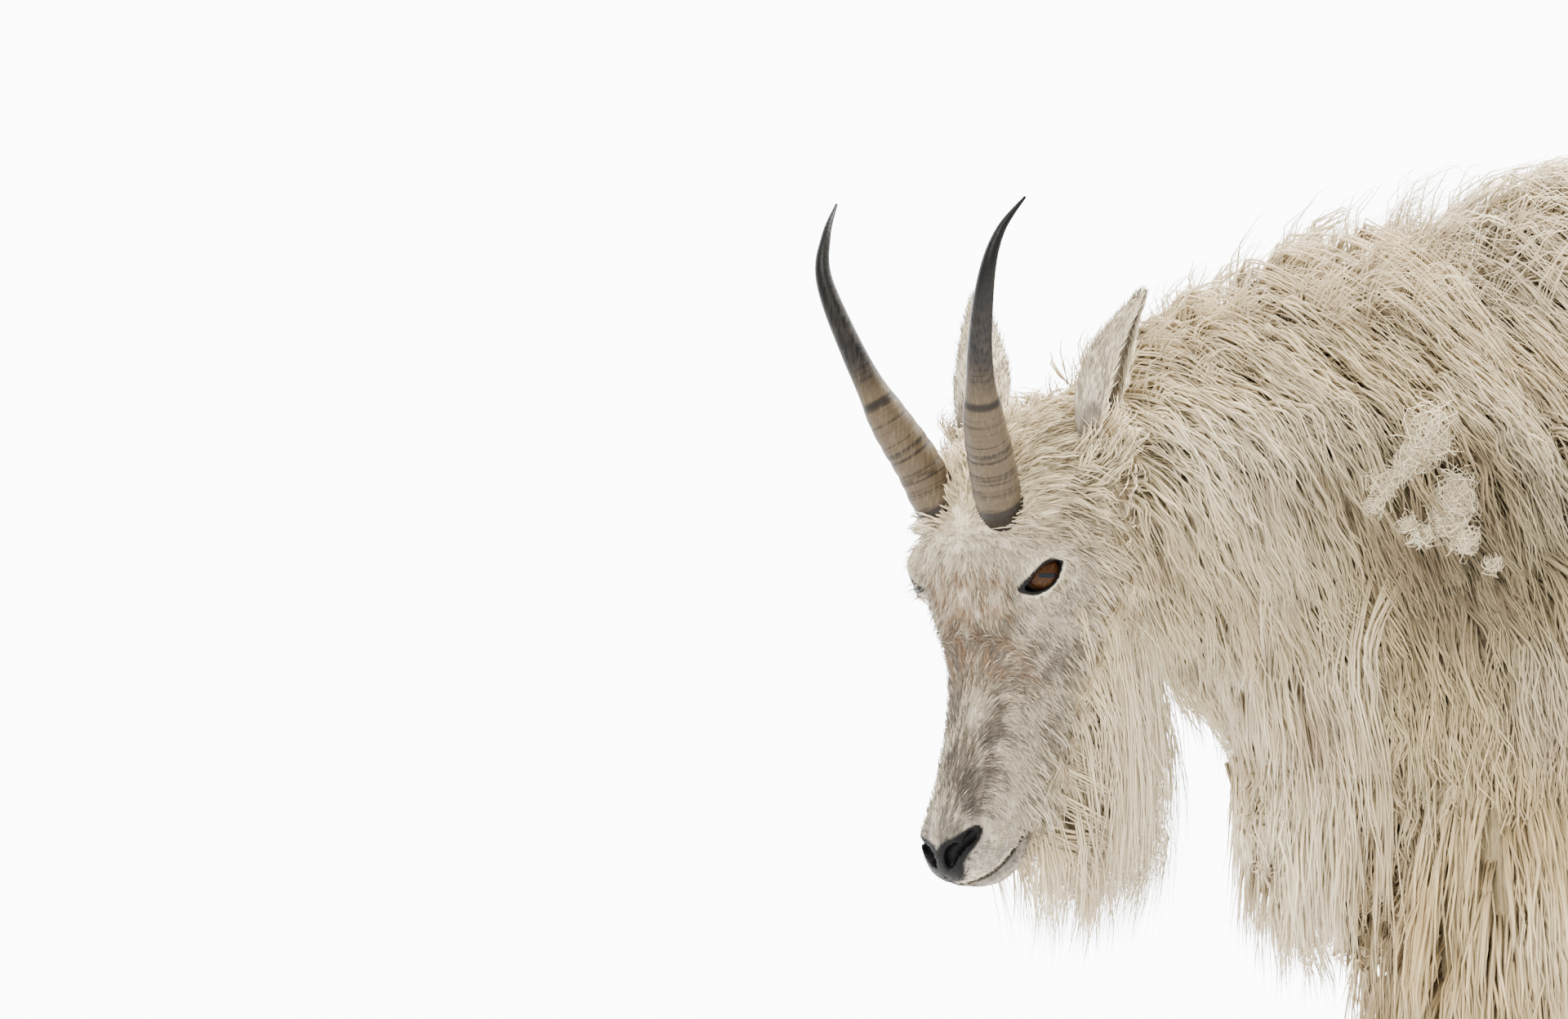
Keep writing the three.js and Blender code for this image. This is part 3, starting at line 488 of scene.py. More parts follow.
# The head's sections: how far in front of the eyes, top, bottom and four half-widths
FUR_DEPTH = 5
HEAD_ROWS = [
    (204, -14, -36, [5, 8, 9, 6]),
    (199, -6, -50, [14, 19, 20, 14]),
    (188, 2, -60, [19, 25, 27, 20]),
    (172, 8, -66, [20, 28, 30, 22]),
    (148, 8, -75, [18, 29, 33, 26]),
    (118, 6, -80, [19, 32, 36, 28]),
    (85, 6, -88, [21, 37, 41, 30]),
    (53, 9, -100, [28, 45, 46, 31]),
    (25, 14, -111, [43, 56, 51, 32]),
    (0, 20, -118, [53, 62, 53, 33]),
    (-25, 26, -120, [51, 60, 55, 34]),
    (-50, 27, -116, [46, 57, 56, 36]),
    (-76, 18, -108, [42, 56, 56, 37]),
    (-100, -2, -98, [38, 52, 52, 35]),
    (-118, -26, -88, [26, 38, 38, 25]),
    (-126, -44, -72, [8, 12, 12, 8]),
]


def head_section(ahead, top, bottom, widths):
    middle = (top + bottom) / 2
    coat = [top - middle, middle - bottom, *widths]
    return [-ahead, 0, middle], (0, 0), [max(w - FUR_DEPTH, 1) for w in coat], coat


SKULL = Form([head_section(*row) for row in HEAD_ROWS], (0.0, 0.0, 0.25, 0.5), HEAD_LEVELS)


# Shaders
def sum_of(operation, swapped=False):
    """One of Python's operators on sockets, as a Math node."""

    def apply(self, other):
        values = (other, self) if swapped else (self, other)
        return self.made.math(operation, *values)

    return apply


class Shade:
    """A socket that Python's own operators add Math nodes to."""

    __add__ = __radd__ = sum_of("ADD")
    __mul__ = __rmul__ = sum_of("MULTIPLY")
    __sub__, __rsub__ = sum_of("SUBTRACT"), sum_of("SUBTRACT", True)
    __truediv__, __rtruediv__ = sum_of("DIVIDE"), sum_of("DIVIDE", True)
    __pow__, __rpow__ = sum_of("POWER"), sum_of("POWER", True)

    def __init__(self, made, socket):
        self.made, self.socket = made, socket

    def __abs__(self):
        return self.made.math("ABSOLUTE", self)


class Nodes:
    """A node tree, and the one way in which nodes are added to it."""

    def __init__(self, tree):
        self.tree = tree

    def node(self, kind, settings=None, output=0, **inputs):
        """A node of one type, with its settings, then the values or links of its sockets."""
        made = self.tree.nodes.new(kind)
        for key, value in (settings or {}).items():
            setattr(made, key, value)
        for key, value in inputs.items():
            index = int(key[1:]) if key[1:].isdigit() else key.replace("_", " ")
            self.feed(made.inputs[index], value)
        return Shade(self, made.outputs[output])

    def feed(self, socket, value):
        if isinstance(value, Shade):
            self.tree.links.new(value.socket, socket)
        elif hasattr(value, "__len__") and socket.type == "RGBA" and len(value) == 3:
            socket.default_value = (*value, 1)
        else:
            socket.default_value = value

    def math(self, operation, *values):
        inputs = {"_" + str(i): value for i, value in enumerate(values)}
        return self.node("ShaderNodeMath", {"operation": operation}, **inputs)

    def step(self, value, low, high, bottom=0.0, top=1.0):
        """From bottom under low to top over high, smooth between."""
        return self.node("ShaderNodeMapRange", {"interpolation_type": "SMOOTHSTEP"}, Value=value,
                         From_Min=low, From_Max=high, To_Min=bottom, To_Max=top)


class Finish(Nodes):
    """A material with one Principled shader."""

    def __init__(self, name, **constants):
        self.material = bpy.data.materials.new(name)
        self.material.use_nodes = True
        super().__init__(self.material.node_tree)
        self.shader = self.tree.nodes["Principled BSDF"]
        self.set(**constants)

    def set(self, **inputs):
        for key, value in inputs.items():
            self.feed(self.shader.inputs[key.replace("_", " ")], value)

    def clamp(self, value):
        return self.node("ShaderNodeClamp", Value=value)

    def mix(self, share, a, b, blend="MIX"):
        settings = {"data_type": "RGBA", "blend_type": blend}
        return self.node("ShaderNodeMix", settings, output=2, _0=share, _6=a, _7=b)

    def attribute(self, name, kind="Color"):
        output = {"Color": 0, "Vector": 1, "Fac": 2}[kind]
        return self.node("ShaderNodeAttribute", {"attribute_name": name}, output=output)

    def place(self):
        return self.node("ShaderNodeTexCoord", output=3)

    def mapped(self, vector, scale):
        return self.node("ShaderNodeMapping", Vector=vector, Scale=scale)

    def noise(self, vector, scale, detail=3.0, roughness=0.55):
        return self.node("ShaderNodeTexNoise", Vector=vector, Scale=scale, Detail=detail,
                         Roughness=roughness)

    def parts(self, vector):
        made = self.tree.nodes.new("ShaderNodeSeparateXYZ")
        self.feed(made.inputs[0], vector)
        return [Shade(self, socket) for socket in made.outputs]

    def bump(self, height, strength, distance):
        self.set(Normal=self.node("ShaderNodeBump", Height=height, Strength=strength,
                                  Distance=distance))


def coat_finish(name, roughness):
    """Hair: its own tint, with fine strands drawn along each lock."""
    made = Finish(name, Roughness=roughness, Sheen_Weight=0.06, Sheen_Roughness=0.5,
                  Specular_IOR_Level=0.15)
    strand = made.node("ShaderNodeUVMap", {"uv_map": "Strand"})
    fine = made.noise(made.mapped(strand, scale=(14, 1.6, 1)), 1.0, 4.0, 0.7)
    streak = made.step(fine, 0.36, 0.66)
    tint = made.attribute("Tint")
    darker = made.mix(1.0, tint, (0.66, 0.61, 0.54), "MULTIPLY")
    made.set(Base_Color=made.mix(streak, darker, tint))
    made.bump(fine, 0.5, 0.001)
    return made.material


def skin_finish(name):
    """Skin and the short fur that lies flat on it."""
    made = Finish(name, Roughness=0.8, Sheen_Weight=0.0, Specular_IOR_Level=0.08)
    lie = made.attribute("Lie", "Vector")
    hair = made.noise(made.mapped(lie, scale=(60, 700, 700)), 1.0, 4.0, 0.65)
    bare = made.attribute("Bare", "Fac")
    grain = made.noise(made.place(), 900.0, 2.0)
    tint = made.attribute("Tint")
    shade = made.mix(1.0, tint, (0.62, 0.58, 0.52), "MULTIPLY")
    furred = made.mix(made.step(hair, 0.36, 0.62), shade, tint)
    made.set(Base_Color=made.mix(bare, furred, tint))
    made.set(Roughness=0.82 - bare * 0.36)
    made.bump(hair * (1 - bare) + grain * bare * 0.35, 0.7, 0.0012)
    return made.material


# Markings, and painted light and shade, shared by skin and coat. Colours are linear.
def ripple(points, size, seed):
    """A smooth uneven field from 0 to 1, with patches about size across."""
    draw = np.random.default_rng(seed)
    total = np.zeros(len(points))
    for _ in range(5):
        way = unit(draw.normal(size=3)) / size * draw.uniform(0.7, 1.5)
        total += np.sin(2 * math.pi * (points @ way) + draw.uniform(0, 2 * math.pi))
    return np.clip(0.5 + total / 5, 0, 1)


def near(points, at, radii):
    """1 at a place and 0 past the radii round it."""
    away = np.linalg.norm((points - np.asarray(at, float)) / np.asarray(radii, float), axis=1)
    return 1 - ease(away)


def mixed(a, b, share):
    """Tints a, mixed with one colour by each point's share."""
    return a + (np.asarray(b, float) - a) * np.asarray(share)[:, None]


def body_tint(points, looks):
    """The coat of the body: cream, warmer under the chest and legs, with stained patches; paler on top
    and at the front as painted sunlight and glow, darker over the shoulder and round the shed wool as
    painted shade.
    """
    tint = np.tile(np.array(looks.coat), (len(points), 1))
    low = fall(points[:, 2], 380, 260)
    # Painted light: paler on top where the sun falls, and at the front where backlit hair glows.
    high = rise(points[:, 2], 790, 110)
    front = fall(points[:, 0], -500, 120)
    mark = near(points, [-446, -112, 584], [30, 70, 60])
    # Painted shade: darker over the middle of the shoulder, and brownish dark between and under the shed
    # wool.
    shade = near(points, [-360, -150, 715], [200, 100, 200])
    painted_shade_round_wool = near(points, [-372, -150, 715], [84, 110, 104]) * ripple(points, 30, 11) ** 0.5
    for to, share in [
        (looks.coat_warm, 0.3 * low),
        (looks.coat_white, 0.6 * np.maximum(high, 0.8 * front)),
        (looks.coat_warm, 0.4 * ripple(points, 170, 3) ** 2),
        (looks.coat_white, 0.55 * ripple(points, 120, 5) ** 2),
        (looks.coat_stain, 0.3 * ripple(points, 90, 8) ** 4),
        (looks.coat_stain, 0.8 * mark * ripple(points, 26, 9)),
        (looks.coat_stain, 0.75 * painted_shade_round_wool),
    ]:
        tint = mixed(tint, to, share)
    return tint * (1 - 0.42 * shade - 0.24 * painted_shade_round_wool)[:, None]


def slit_outline():
    """The almond of the lids, in the eye's own frame."""
    length, height = EYE_SLIT
    outer = np.array([-length * 0.42, 0])
    inner = np.array([length * 0.58, -height * 0.12])
    t = np.linspace(0, 1, 14, endpoint=False)[:, None]

    def curve(a, b, c):
        return a * (1 - t) ** 2 + 2 * b * t * (1 - t) + c * t ** 2

    lower = curve(outer, np.array([-length * 0.2, -height]), inner)
    upper = curve(inner, np.array([length * 0.2, height * 1.15]), outer)
    return np.concatenate([lower, upper])


def slit_distance(local):
    """How far each point of the eye's frame is from the almond's edge, below 0 inside it."""
    outline = slit_outline()
    p = local[:, None, :2]
    a, b = outline, np.roll(outline, -1, axis=0)
    way = b - a
    t = np.clip(((p - a) * way).sum(-1) / (way * way).sum(-1), 0, 1)
    away = np.linalg.norm(p - a - way * t[..., None], axis=-1).min(axis=1)
    over = (a[:, 1] > p[..., 1]) != (b[:, 1] > p[..., 1])
    rise = np.where(np.abs(way[:, 1]) < 1e-9, 1e-9, way[:, 1])
    crossing = p[..., 0] < way[:, 0] * (p[..., 1] - a[:, 1]) / rise + a[:, 0]
    inside = (over & crossing).sum(axis=1) % 2 == 1
    return np.where(inside, -away, away)


def eye_rim(head, side):
    """Bare black rim of the lids, wider at the inner corner and below, as a mask."""
    local = into_eye(head, side)
    reach = np.linalg.norm(local, axis=1) < 40
    mask = np.zeros(len(head))
    if reach.any():
        q = local[reach]
        mask[reach] = fall(slit_distance(q) / rim_width(q), 0.7, 0.45) * (q[:, 2] > -2)
    return mask


# Lines and marks of the face: ahead of the eyes, to either side, and up
STREAK = [(14, 33, 9), (60, 29, 5), (113, 23, 3), (152, 20, 0)]
NOSTRIL = [(194, 5, -8), (187, 9, -2), (178, 17, -4), (169, 25, -8)]
NOSTRIL_PAD = ([0, 0.4, 0.75, 1], [13, 12, 8.5, 5.0])  # how far the bare skin reaches, along the line
MOUTH = [(210, -18), (199, -24), (186, -35), (172, -45), (154, -52), (144, -50)]  # ahead and up
BROW_MARKS = [((24, 38, 18), (26, 16, 18), 0.7), ((2, 46, 14), (22, 14, 12), 0.6)]
CHEEK_MARKS = [((-41, 54, -24), (30, 20, 26), 0.8), ((-72, 44, -52), (22, 30, 40), 0.8)]


def face_place(head):
    """Places of the head as the face's marks give them."""
    return np.stack([-head[:, 0], np.abs(head[:, 1]), head[:, 2]], 1)


def head_tint(points, looks, draw=None):
    """The face: grey-beige, pale jaw and eye ring, dark lids and nostrils, grey streaks. With
    draw, for tufts, a mark's share says how many of them are dark."""

    def marked(tint, to, share):
        if draw is not None:
            share = 0.72 * (draw.uniform(0, 1, len(tint)) < 1.05 * share)
        return mixed(tint, to, share)

    head = into_head(points)
    place = face_place(head)
    ahead, side, high = place.T
    grey, white = looks.face_grey, looks.coat_white
    tint = np.tile(np.array(looks.face), (len(points), 1))
    tint = mixed(tint, looks.coat, 0.75 * rise(-high, 40, 40) * fall(ahead, 150, 30))
    crown = (np.array(looks.coat) + np.array(white)) / 2
    tint = mixed(tint, crown, rise(-ahead, 10, 45))
    away, _ = line_distance(place, STREAK)
    streak = ripple(head * [0.35, 1.6, 1.6], 11, 21)
    tint = marked(tint, grey, 0.8 * fall(away, 3, 15) * ease(streak * 2.2 - 0.5))
    streak = streak * ripple(head, 34, 22)
    bridge = rise(ahead, 20, 40) * fall(ahead, 165, 20) * fall(side, 14, 14)
    groove = near(place, [60, 40, -32], [70, 26, 24])
    tint = marked(tint, grey, np.clip(3.6 * (bridge + groove) * streak, 0, 0.8))
    for at, radii, share in BROW_MARKS:
        tint = marked(tint, grey, share * near(place, at, radii))
    fine = ripple(head * [0.5, 1.3, 1.3], 8, 23)
    for at, radii, share in CHEEK_MARKS:
        tint = marked(tint, grey, share * near(place, at, radii) * fine)
    speck = ripple(head, 15, 25) ** 1.5 * rise(ahead, -10, 30) * fall(ahead, 150, 20)
    tint = marked(tint, grey, 0.75 * speck * rise(high, -50, 40))
    brow = rise(ahead, -15, 20) * fall(ahead, 60, 30) * fall(side, 26, 18)
    tint = marked(tint, looks.coat_stain, 0.85 * brow * ripple(head, 12, 24))
    for turn in SIDES.values():
        local = into_eye(head, turn)
        ring = near(local, [0, 0, 10], [36, 30, 26]) * (local[:, 2] > 0)
        tint = mixed(tint, white, 0.5 * ring)
    tint = mixed(tint, looks.muzzle, 0.75 * rise(ahead, 150, 26) * ripple(head, 22, 31) ** 0.5)
    return mouth_tint(tint, place, looks, [eye_rim(head, turn) for turn in SIDES.values()])


def mouth_tint(tint, place, looks, rims):
    """The face's tint with lips, nostrils and the lids' rims, and where the skin is bare."""
    ahead, side, high = place.T
    away, _ = line_distance(place[:, [0, 2]], MOUTH)
    above = high - np.interp(ahead, *zip(*sorted(MOUTH)))
    lip = (ahead > 146) * (side > 3)
    tint = mixed(tint, looks.coat_white, 0.6 * lip * fall(away, 2.5, 3) * (above > 0))
    tint = mixed(tint, looks.face_grey, 0.6 * lip * fall(away, 4, 7) * (above < 0))
    tint = mixed(tint, looks.nose, 0.9 * lip * fall(away, 1.0, 1.6))
    away, share = line_distance(place, NOSTRIL)
    pad = fall(away / np.interp(share, *NOSTRIL_PAD), 0.78, 0.25)
    tint = mixed(tint, looks.face_grey, 0.5 * fall(away, 0, 18) * fall(high, 0, 9))
    tint = mixed(tint, looks.nose, pad)
    ridge = fall(side, 1.2, 2.2) * rise(ahead, 150, 20) * rise(high, 5, 3)
    gap = fall(side, 1.5, 2.5) * (ahead > 186) * rise(-high, 4, 4) * (high > -27)
    tint = mixed(tint, looks.nose, gap)
    tint = mixed(tint, looks.face, 0.85 * ridge)
    bare = pad * (1 - ridge)
    for rim in rims:
        tint = mixed(tint, looks.nose, rim)
        bare = np.maximum(bare, rim)
    return tint, bare


def line_distance(points, line):
    """How far points are from a bent line, and how far along it the nearest place is."""
    line = np.asarray(line, float)
    best = np.full(len(points), np.inf)
    share = np.zeros(len(points))
    last = len(line) - 1
    for k in range(last):
        way = line[k + 1] - line[k]
        t = np.clip((points - line[k]) @ way / (way @ way), 0, 1)
        away = np.linalg.norm(points - line[k] - t[:, None] * way, axis=1)
        share = np.where(away < best, (k + t) / last, share)
        best = np.minimum(best, away)
    return best, share


def ball(rows, sides):
    """Rings of a round ball, one unit in radius, with its poles along Z."""
    lift = np.repeat(np.linspace(-0.5, 0.5, rows)[1:-1] * math.pi, sides)
    turn = np.tile(circle(sides), rows - 2)
    flat = np.cos(lift)
    points = np.stack([flat * np.cos(turn), flat * np.sin(turn), np.sin(lift)], 1)
    return points.reshape(rows - 2, sides, 3)


def lid_dome():
    """A low dome over an eyeball, in the eye's own frame."""
    return tube(ball(24, 36) * [22, 17.5, 18])


def prism(outline, low, high, axes=(0, 1, 2)):
    """An outline of the XY plane pushed from low to high along Z, its axes then put in order."""
    rings = [np.column_stack([outline, np.full(len(outline), z)]) for z in (low, high)]
    points, faces = tube(np.array(rings))
    return points[:, axes], faces


def curve_tube(line, radii, steps, sides):
    """A round tube along a smooth line."""
    s = np.linspace(0, 1, steps)
    middle = along(line, s)
    ahead = unit(np.gradient(middle, axis=0))
    first = unit(np.cross(ahead, [0.2, 0.3, 1]))
    second = np.cross(ahead, first)
    turn = circle(sides)
    radius = along(np.array(radii, float), s)[:, None, None]
    way = first[:, None] * np.cos(turn)[:, None] + second[:, None] * np.sin(turn)[:, None]
    return tube(middle[:, None] + way * radius)


UPRIGHT = (0, 2, 1)  # a prism's axes when its outline stands in the head's middle plane
LIP_GROOVE = [(-208, -8), (-193, -4), (-198, -26), (-208, -24)]


def mouth_cut():
    """The mouth's slit, right through the muzzle."""
    line = along(np.array(MOUTH, float) * [-1, 1], np.linspace(0, 1, 16))
    way = unit(np.gradient(line, axis=0))
    across = np.column_stack([-way[:, 1], way[:, 0]])
    half = np.linspace(2.0, 1.2, 16)[:, None]
    outline = np.concatenate([line + across * half, (line - across * half)[::-1]])
    return prism(outline, -60, 60, UPRIGHT)


def face_cuts():
    """The solids that cut the mouth, the groove under the nose, the lids' slits and the nostrils."""
    cuts = [mouth_cut(), prism(np.array(LIP_GROOVE, float), -1.1, 1.1, UPRIGHT)]
    for side in SIDES.values():
        points, faces = prism(slit_outline(), 0, 32)
        cuts.append((from_eye(points, side), faces))
        line = np.array(NOSTRIL, float) * [-1, side, 1]
        cuts.append(curve_tube(line, [3.0, 5.2, 4.8, 2.6], 12, 12))
    return cuts


SWELLS = [  # place on the face, radii, height
    ((12, 47, 18), (30, 16, 16), 3.5),
    ((34, 50, -20), (20, 12, 16), -3.0),
    ((66, 38, -22), (42, 14, 14), -3.0),
    ((30, 52, -46), (60, 16, 14), 3.0),
    ((95, 34, -46), (50, 14, 12), 2.0),
    ((186, 20, -22), (18, 12, 12), 2.5),
    ((176, 22, -52), (22, 14, 10), 2.5),
    ((178, 18, 2), (16, 10, 10), 2.2),
    ((120, 0, 8), (60, 10, 10), 1.5),
    ((-22, 20, 26), (26, 14, 20), 4.0),
]


def head_shell():
    """The head's surface, with the folds and bones of the face."""
    rings, sides = 170, 120
    s = np.repeat(np.linspace(0, 1, rings), sides)
    layer = FACE_LAYER + (0.95 - FACE_LAYER) * fall(s, 0.12, 0.2)
    points = SKULL.points(s, np.tile(np.arange(sides) / sides, rings), layer)
    points, faces = tube(points.reshape(rings, sides, 3))
    middle = points * [1, 0, 0] + [0, 0, -44]
    place = face_place(points)
    lift = sum(height * near(place, at, radii) for at, radii, height in SWELLS)
    return points + unit(points - middle) * lift[:, None], faces


def ear_axes():
    """The left ear's own directions: to its tip, out of its opening, and across."""
    axis = unit(EAR_TIP - EAR_ROOT)
    opening = np.array([0.42, -0.85, -0.3])
    opening = unit(opening - axis * (opening @ axis))
    return axis, opening, np.cross(axis, opening)


def ear_middle(s):
    axis, opening, _ = ear_axes()
    bow = (EAR_BOW * np.sin(math.pi * s))[:, None]
    return EAR_ROOT + axis * (s * EAR_LENGTH)[:, None] - opening * bow


def ear_points(s, turn, inset):
    """Points of the left ear's wall, inset from its outer face, in the head's frame."""
    _, opening, cross = ear_axes()
    size = along(EAR_SHAPE, s)
    deep = np.maximum(EAR_DEPTH / 2 * size - inset, 0.3)
    wide = np.maximum(EAR_WIDTH / 2 * size - inset, 0.3)
    return (ear_middle(s) + opening * (deep * np.cos(turn))[:, None]
            + cross * (wide * np.sin(turn))[:, None])


def ear_shell(side):
    """One cupped ear: its outer wall, its rim and the hollow inside."""
    rows, steps = 46, 30
    s = np.linspace(0, 1, rows)
    size = along(EAR_SHAPE, s)
    filled = 1 - along(EAR_CUP, s)
    wall = np.minimum(EAR_WALL, 0.2 * EAR_WIDTH * size)
    _, opening, _ = ear_axes()
    shut = ear_middle(s) + opening * (0.36 * EAR_DEPTH * size)[:, None]
    outer, inner = [], []
    for i in range(steps + 1):
        turn = EAR_OPEN + (2 * math.pi - 2 * EAR_OPEN) * i / steps
        rim = i in (0, steps)
        outer.append(ear_points(s, turn, 0.6))
        p = ear_points(s, turn, wall * (0.4 if rim else 1))
        inner.append(p + (shut - p) * (filled * (0.3 if rim else 0.8))[:, None])
    rings = np.stack(outer + inner[::-1], axis=1)
    return tube(mirrored(rings.reshape(-1, 3), side).reshape(rings.shape))


def remesh(made, voxel, rounds):
    """One closed and smoothed surface round all the parts of an object."""
    change = made.modifiers.new("Remesh", "REMESH")
    change.mode = "VOXEL"
    change.voxel_size = voxel
    change.use_smooth_shade = True
    change = made.modifiers.new("Smooth", "SMOOTH")
    change.factor = 0.5
    change.iterations = rounds
    return finished(made)


def head_skin(looks):
    """The head with its lids, nostrils and mouth, as one object."""
    parts = [outward(*head_shell())]
    for side in SIDES.values():
        points, faces = lid_dome()
        parts.append(outward(from_eye(points, side), faces))
    points, faces = together(parts)
    made = remesh(object_of("head_form", from_head(points), faces), looks.face_voxel, 3)
    cutters = []
    for points, faces in face_cuts():
        points, faces = outward(points, faces)
        cutter = object_of("face_cutter", from_head(points), faces)
        cutters.append(cutter)
        change = made.modifiers.new("Cut", "BOOLEAN")
        change.operation = "DIFFERENCE"
        change.solver = "MANIFOLD"
        change.object = cutter
    finished(made)
    for cutter in cutters:
        bpy.data.objects.remove(cutter)
    return remesh(made, looks.face_voxel * 0.9, 2)


def body_skin(looks):
    """The trunk, the neck, the tail and the legs, as one object."""
    parts = [shell(TRUNK, SKIN_LAYER, 80, 64), shell(NECK, SKIN_LAYER, 50, 64),
             shell(TAIL, SKIN_LAYER, 30, 24)]
    for name in LEGS:
        parts.append(shell(leg_form(name, True), SKIN_LAYER, 50, 32))
        parts.append(shell(leg_form(name, False), 0.7, 50, 32))
    points, faces = together([outward(*part) for part in parts])
    return remesh(object_of("body_form", points, faces), looks.body_voxel, 8)


def taken(made):
    """The points and faces of an object, which is then removed."""
    mesh = made.data
    mesh.calc_loop_triangles()
    tris = np.zeros(len(mesh.loop_triangles) * 3, np.int32)
    mesh.loop_triangles.foreach_get("vertices", tris)
    found = points_of(mesh), [tris.reshape(-1, 3)]
    bpy.data.objects.remove(made)
    return found


FLESH = ["head", "neck", "torso", "tail", "ear_left", "ear_right"]
FLESH += [f"leg_{name}_{part}" for name in LEGS for part in ("upper", "lower")]


class Goat:
    """What the operators share: search trees of the skin and the head, and the points and
    triangles that hair grows on."""

    skin_tree = head_tree = None
    head = body = None


def dress(made, slot, material, *nodes):
    """Gives a finished piece its material and its body, and the nodes it stands for. slot is not used.
    """
    made.data.materials.clear()
    made.data.materials.append(material)
    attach(made, "root")
    if nodes:
        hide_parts(*nodes)
    return made


# Hair
TUFT_PATCH = 0.003  # size of a tuft's patch on the unwrap


def tufts_mesh(name, path, outer, width, tint, root_uv, draw):
    """Closed, tapered, three-cornered tufts, half as thick as wide. path and tint are
    (tufts, rings, 3), and width is (tufts, rings). The last ring closes to the tip."""
    count, rings, _ = path.shape
    ahead = unit(np.gradient(path, axis=1))
    across = unit(np.cross(outer, ahead))
    up = np.cross(ahead, across)
    w, h = width[..., None], (width * 0.5)[..., None]
    foot = path - up * h * 0.4
    ring = np.stack([foot - across * w / 2, foot + across * w / 2, path + up * h * 0.6], axis=2)
    points = np.concatenate([ring[:, :-1].reshape(count, -1, 3), path[:, -1:]], axis=1)
    each = points.shape[1]
    tip, last = each - 1, 3 * (rings - 2)
    corners = ((0, 1), (1, 2), (2, 0))
    quads = [(3 * k + i, 3 * k + j, 3 * k + 3 + j, 3 * k + 3 + i)
             for k in range(rings - 2) for i, j in corners]
    tris = [(0, 2, 1)] + [(last + i, last + j, tip) for i, j in corners]
    start = (np.arange(count) * each)[:, None, None]
    faces = [(np.array(block)[None] + start).reshape(-1, len(block[0])) for block in (tris, quads)]
    mesh = mesh_of(name, to_world(points.reshape(-1, 3)), faces)
    colours = np.concatenate([np.repeat(tint[:, :-1], 3, axis=1), tint[:, -1:]], axis=1)
    paint(mesh, "Tint", np.clip(colours, 0, 0.95).reshape(-1, 3))
    t = np.linspace(0, 1, rings)
    round_the = np.concatenate([np.tile([0.0, 0.5, 1.0], rings - 1), [0.5]])
    down_the = np.concatenate([np.repeat(t[:-1], 3), [1.0]])
    spot = np.stack([round_the, down_the], 1)[None]
    write_uv(mesh, "OFBake", (root_uv[:, None] + TUFT_PATCH * (spot - 0.5)).reshape(-1, 2))
    write_uv(mesh, "Strand", (spot + draw.uniform(0, 40, (count, 1, 2))).reshape(-1, 2))
    return linked(name, mesh)


def taper(width, rings, count, draw):
    """Widths along each tuft: full near the root, fine at the tip."""
    shape = np.interp(np.linspace(0, 1, rings), [0, 0.25, 0.65, 1], [0.75, 1, 0.72, 0.1])
    return width * draw.uniform(0.45, 1.4, count)[:, None] * shape[None]


def root_shade(base, own, locks, rings, roots, draw):
    """A tuft's tint along it, darker and warmer at the root, uneven from lock to lock."""
    t = np.linspace(0, 1, rings)
    tone = draw.normal(1, 0.06, locks)[own] * draw.normal(1, 0.07, len(own))
    depth = (roots + (1 - roots) * ease(t * 1.25))[:, None]
    warm = np.array([1.0, 0.95, 0.86])
    depth = depth * (warm + (1 - warm) * ease(t * 1.5)[:, None])
    base = base if base.ndim == 3 else base[:, None]
    return base * tone[:, None, None] * depth[None]


def hair(name, path, outer, width, tinted, roots, uv, draw, own=None, locks=None, stout=1.0):
    """Tufts along paths. tinted gives the tint at the paths, roots its share at the skin, and own
    the lock of each tuft, out of locks."""
    count, rings, _ = path.shape
    if own is None:
        own, locks = np.arange(count), count
    wide = taper(width, rings, count, draw) * stout
    tint = root_shade(tinted(path), own, locks, rings, roots, draw)
    return tufts_mesh(name, path, outer, wide, tint, uv, draw)


def on_rings(vectors, rings):
    """One vector for each tuft, given to all its rings."""
    return np.repeat(vectors[:, None], rings, axis=1)


def bowed(root, normal, way, size, rings, lift, bend, depth):
    """Lines that start a little under the skin, rise off it and bend back towards it."""
    t = np.linspace(0, 1, rings)[None, :, None]
    reach = size[:, None, None]
    path = root[:, None] + way[:, None] * reach * t
    return path + normal[:, None] * (reach * lift * np.sin(t * bend) - depth)


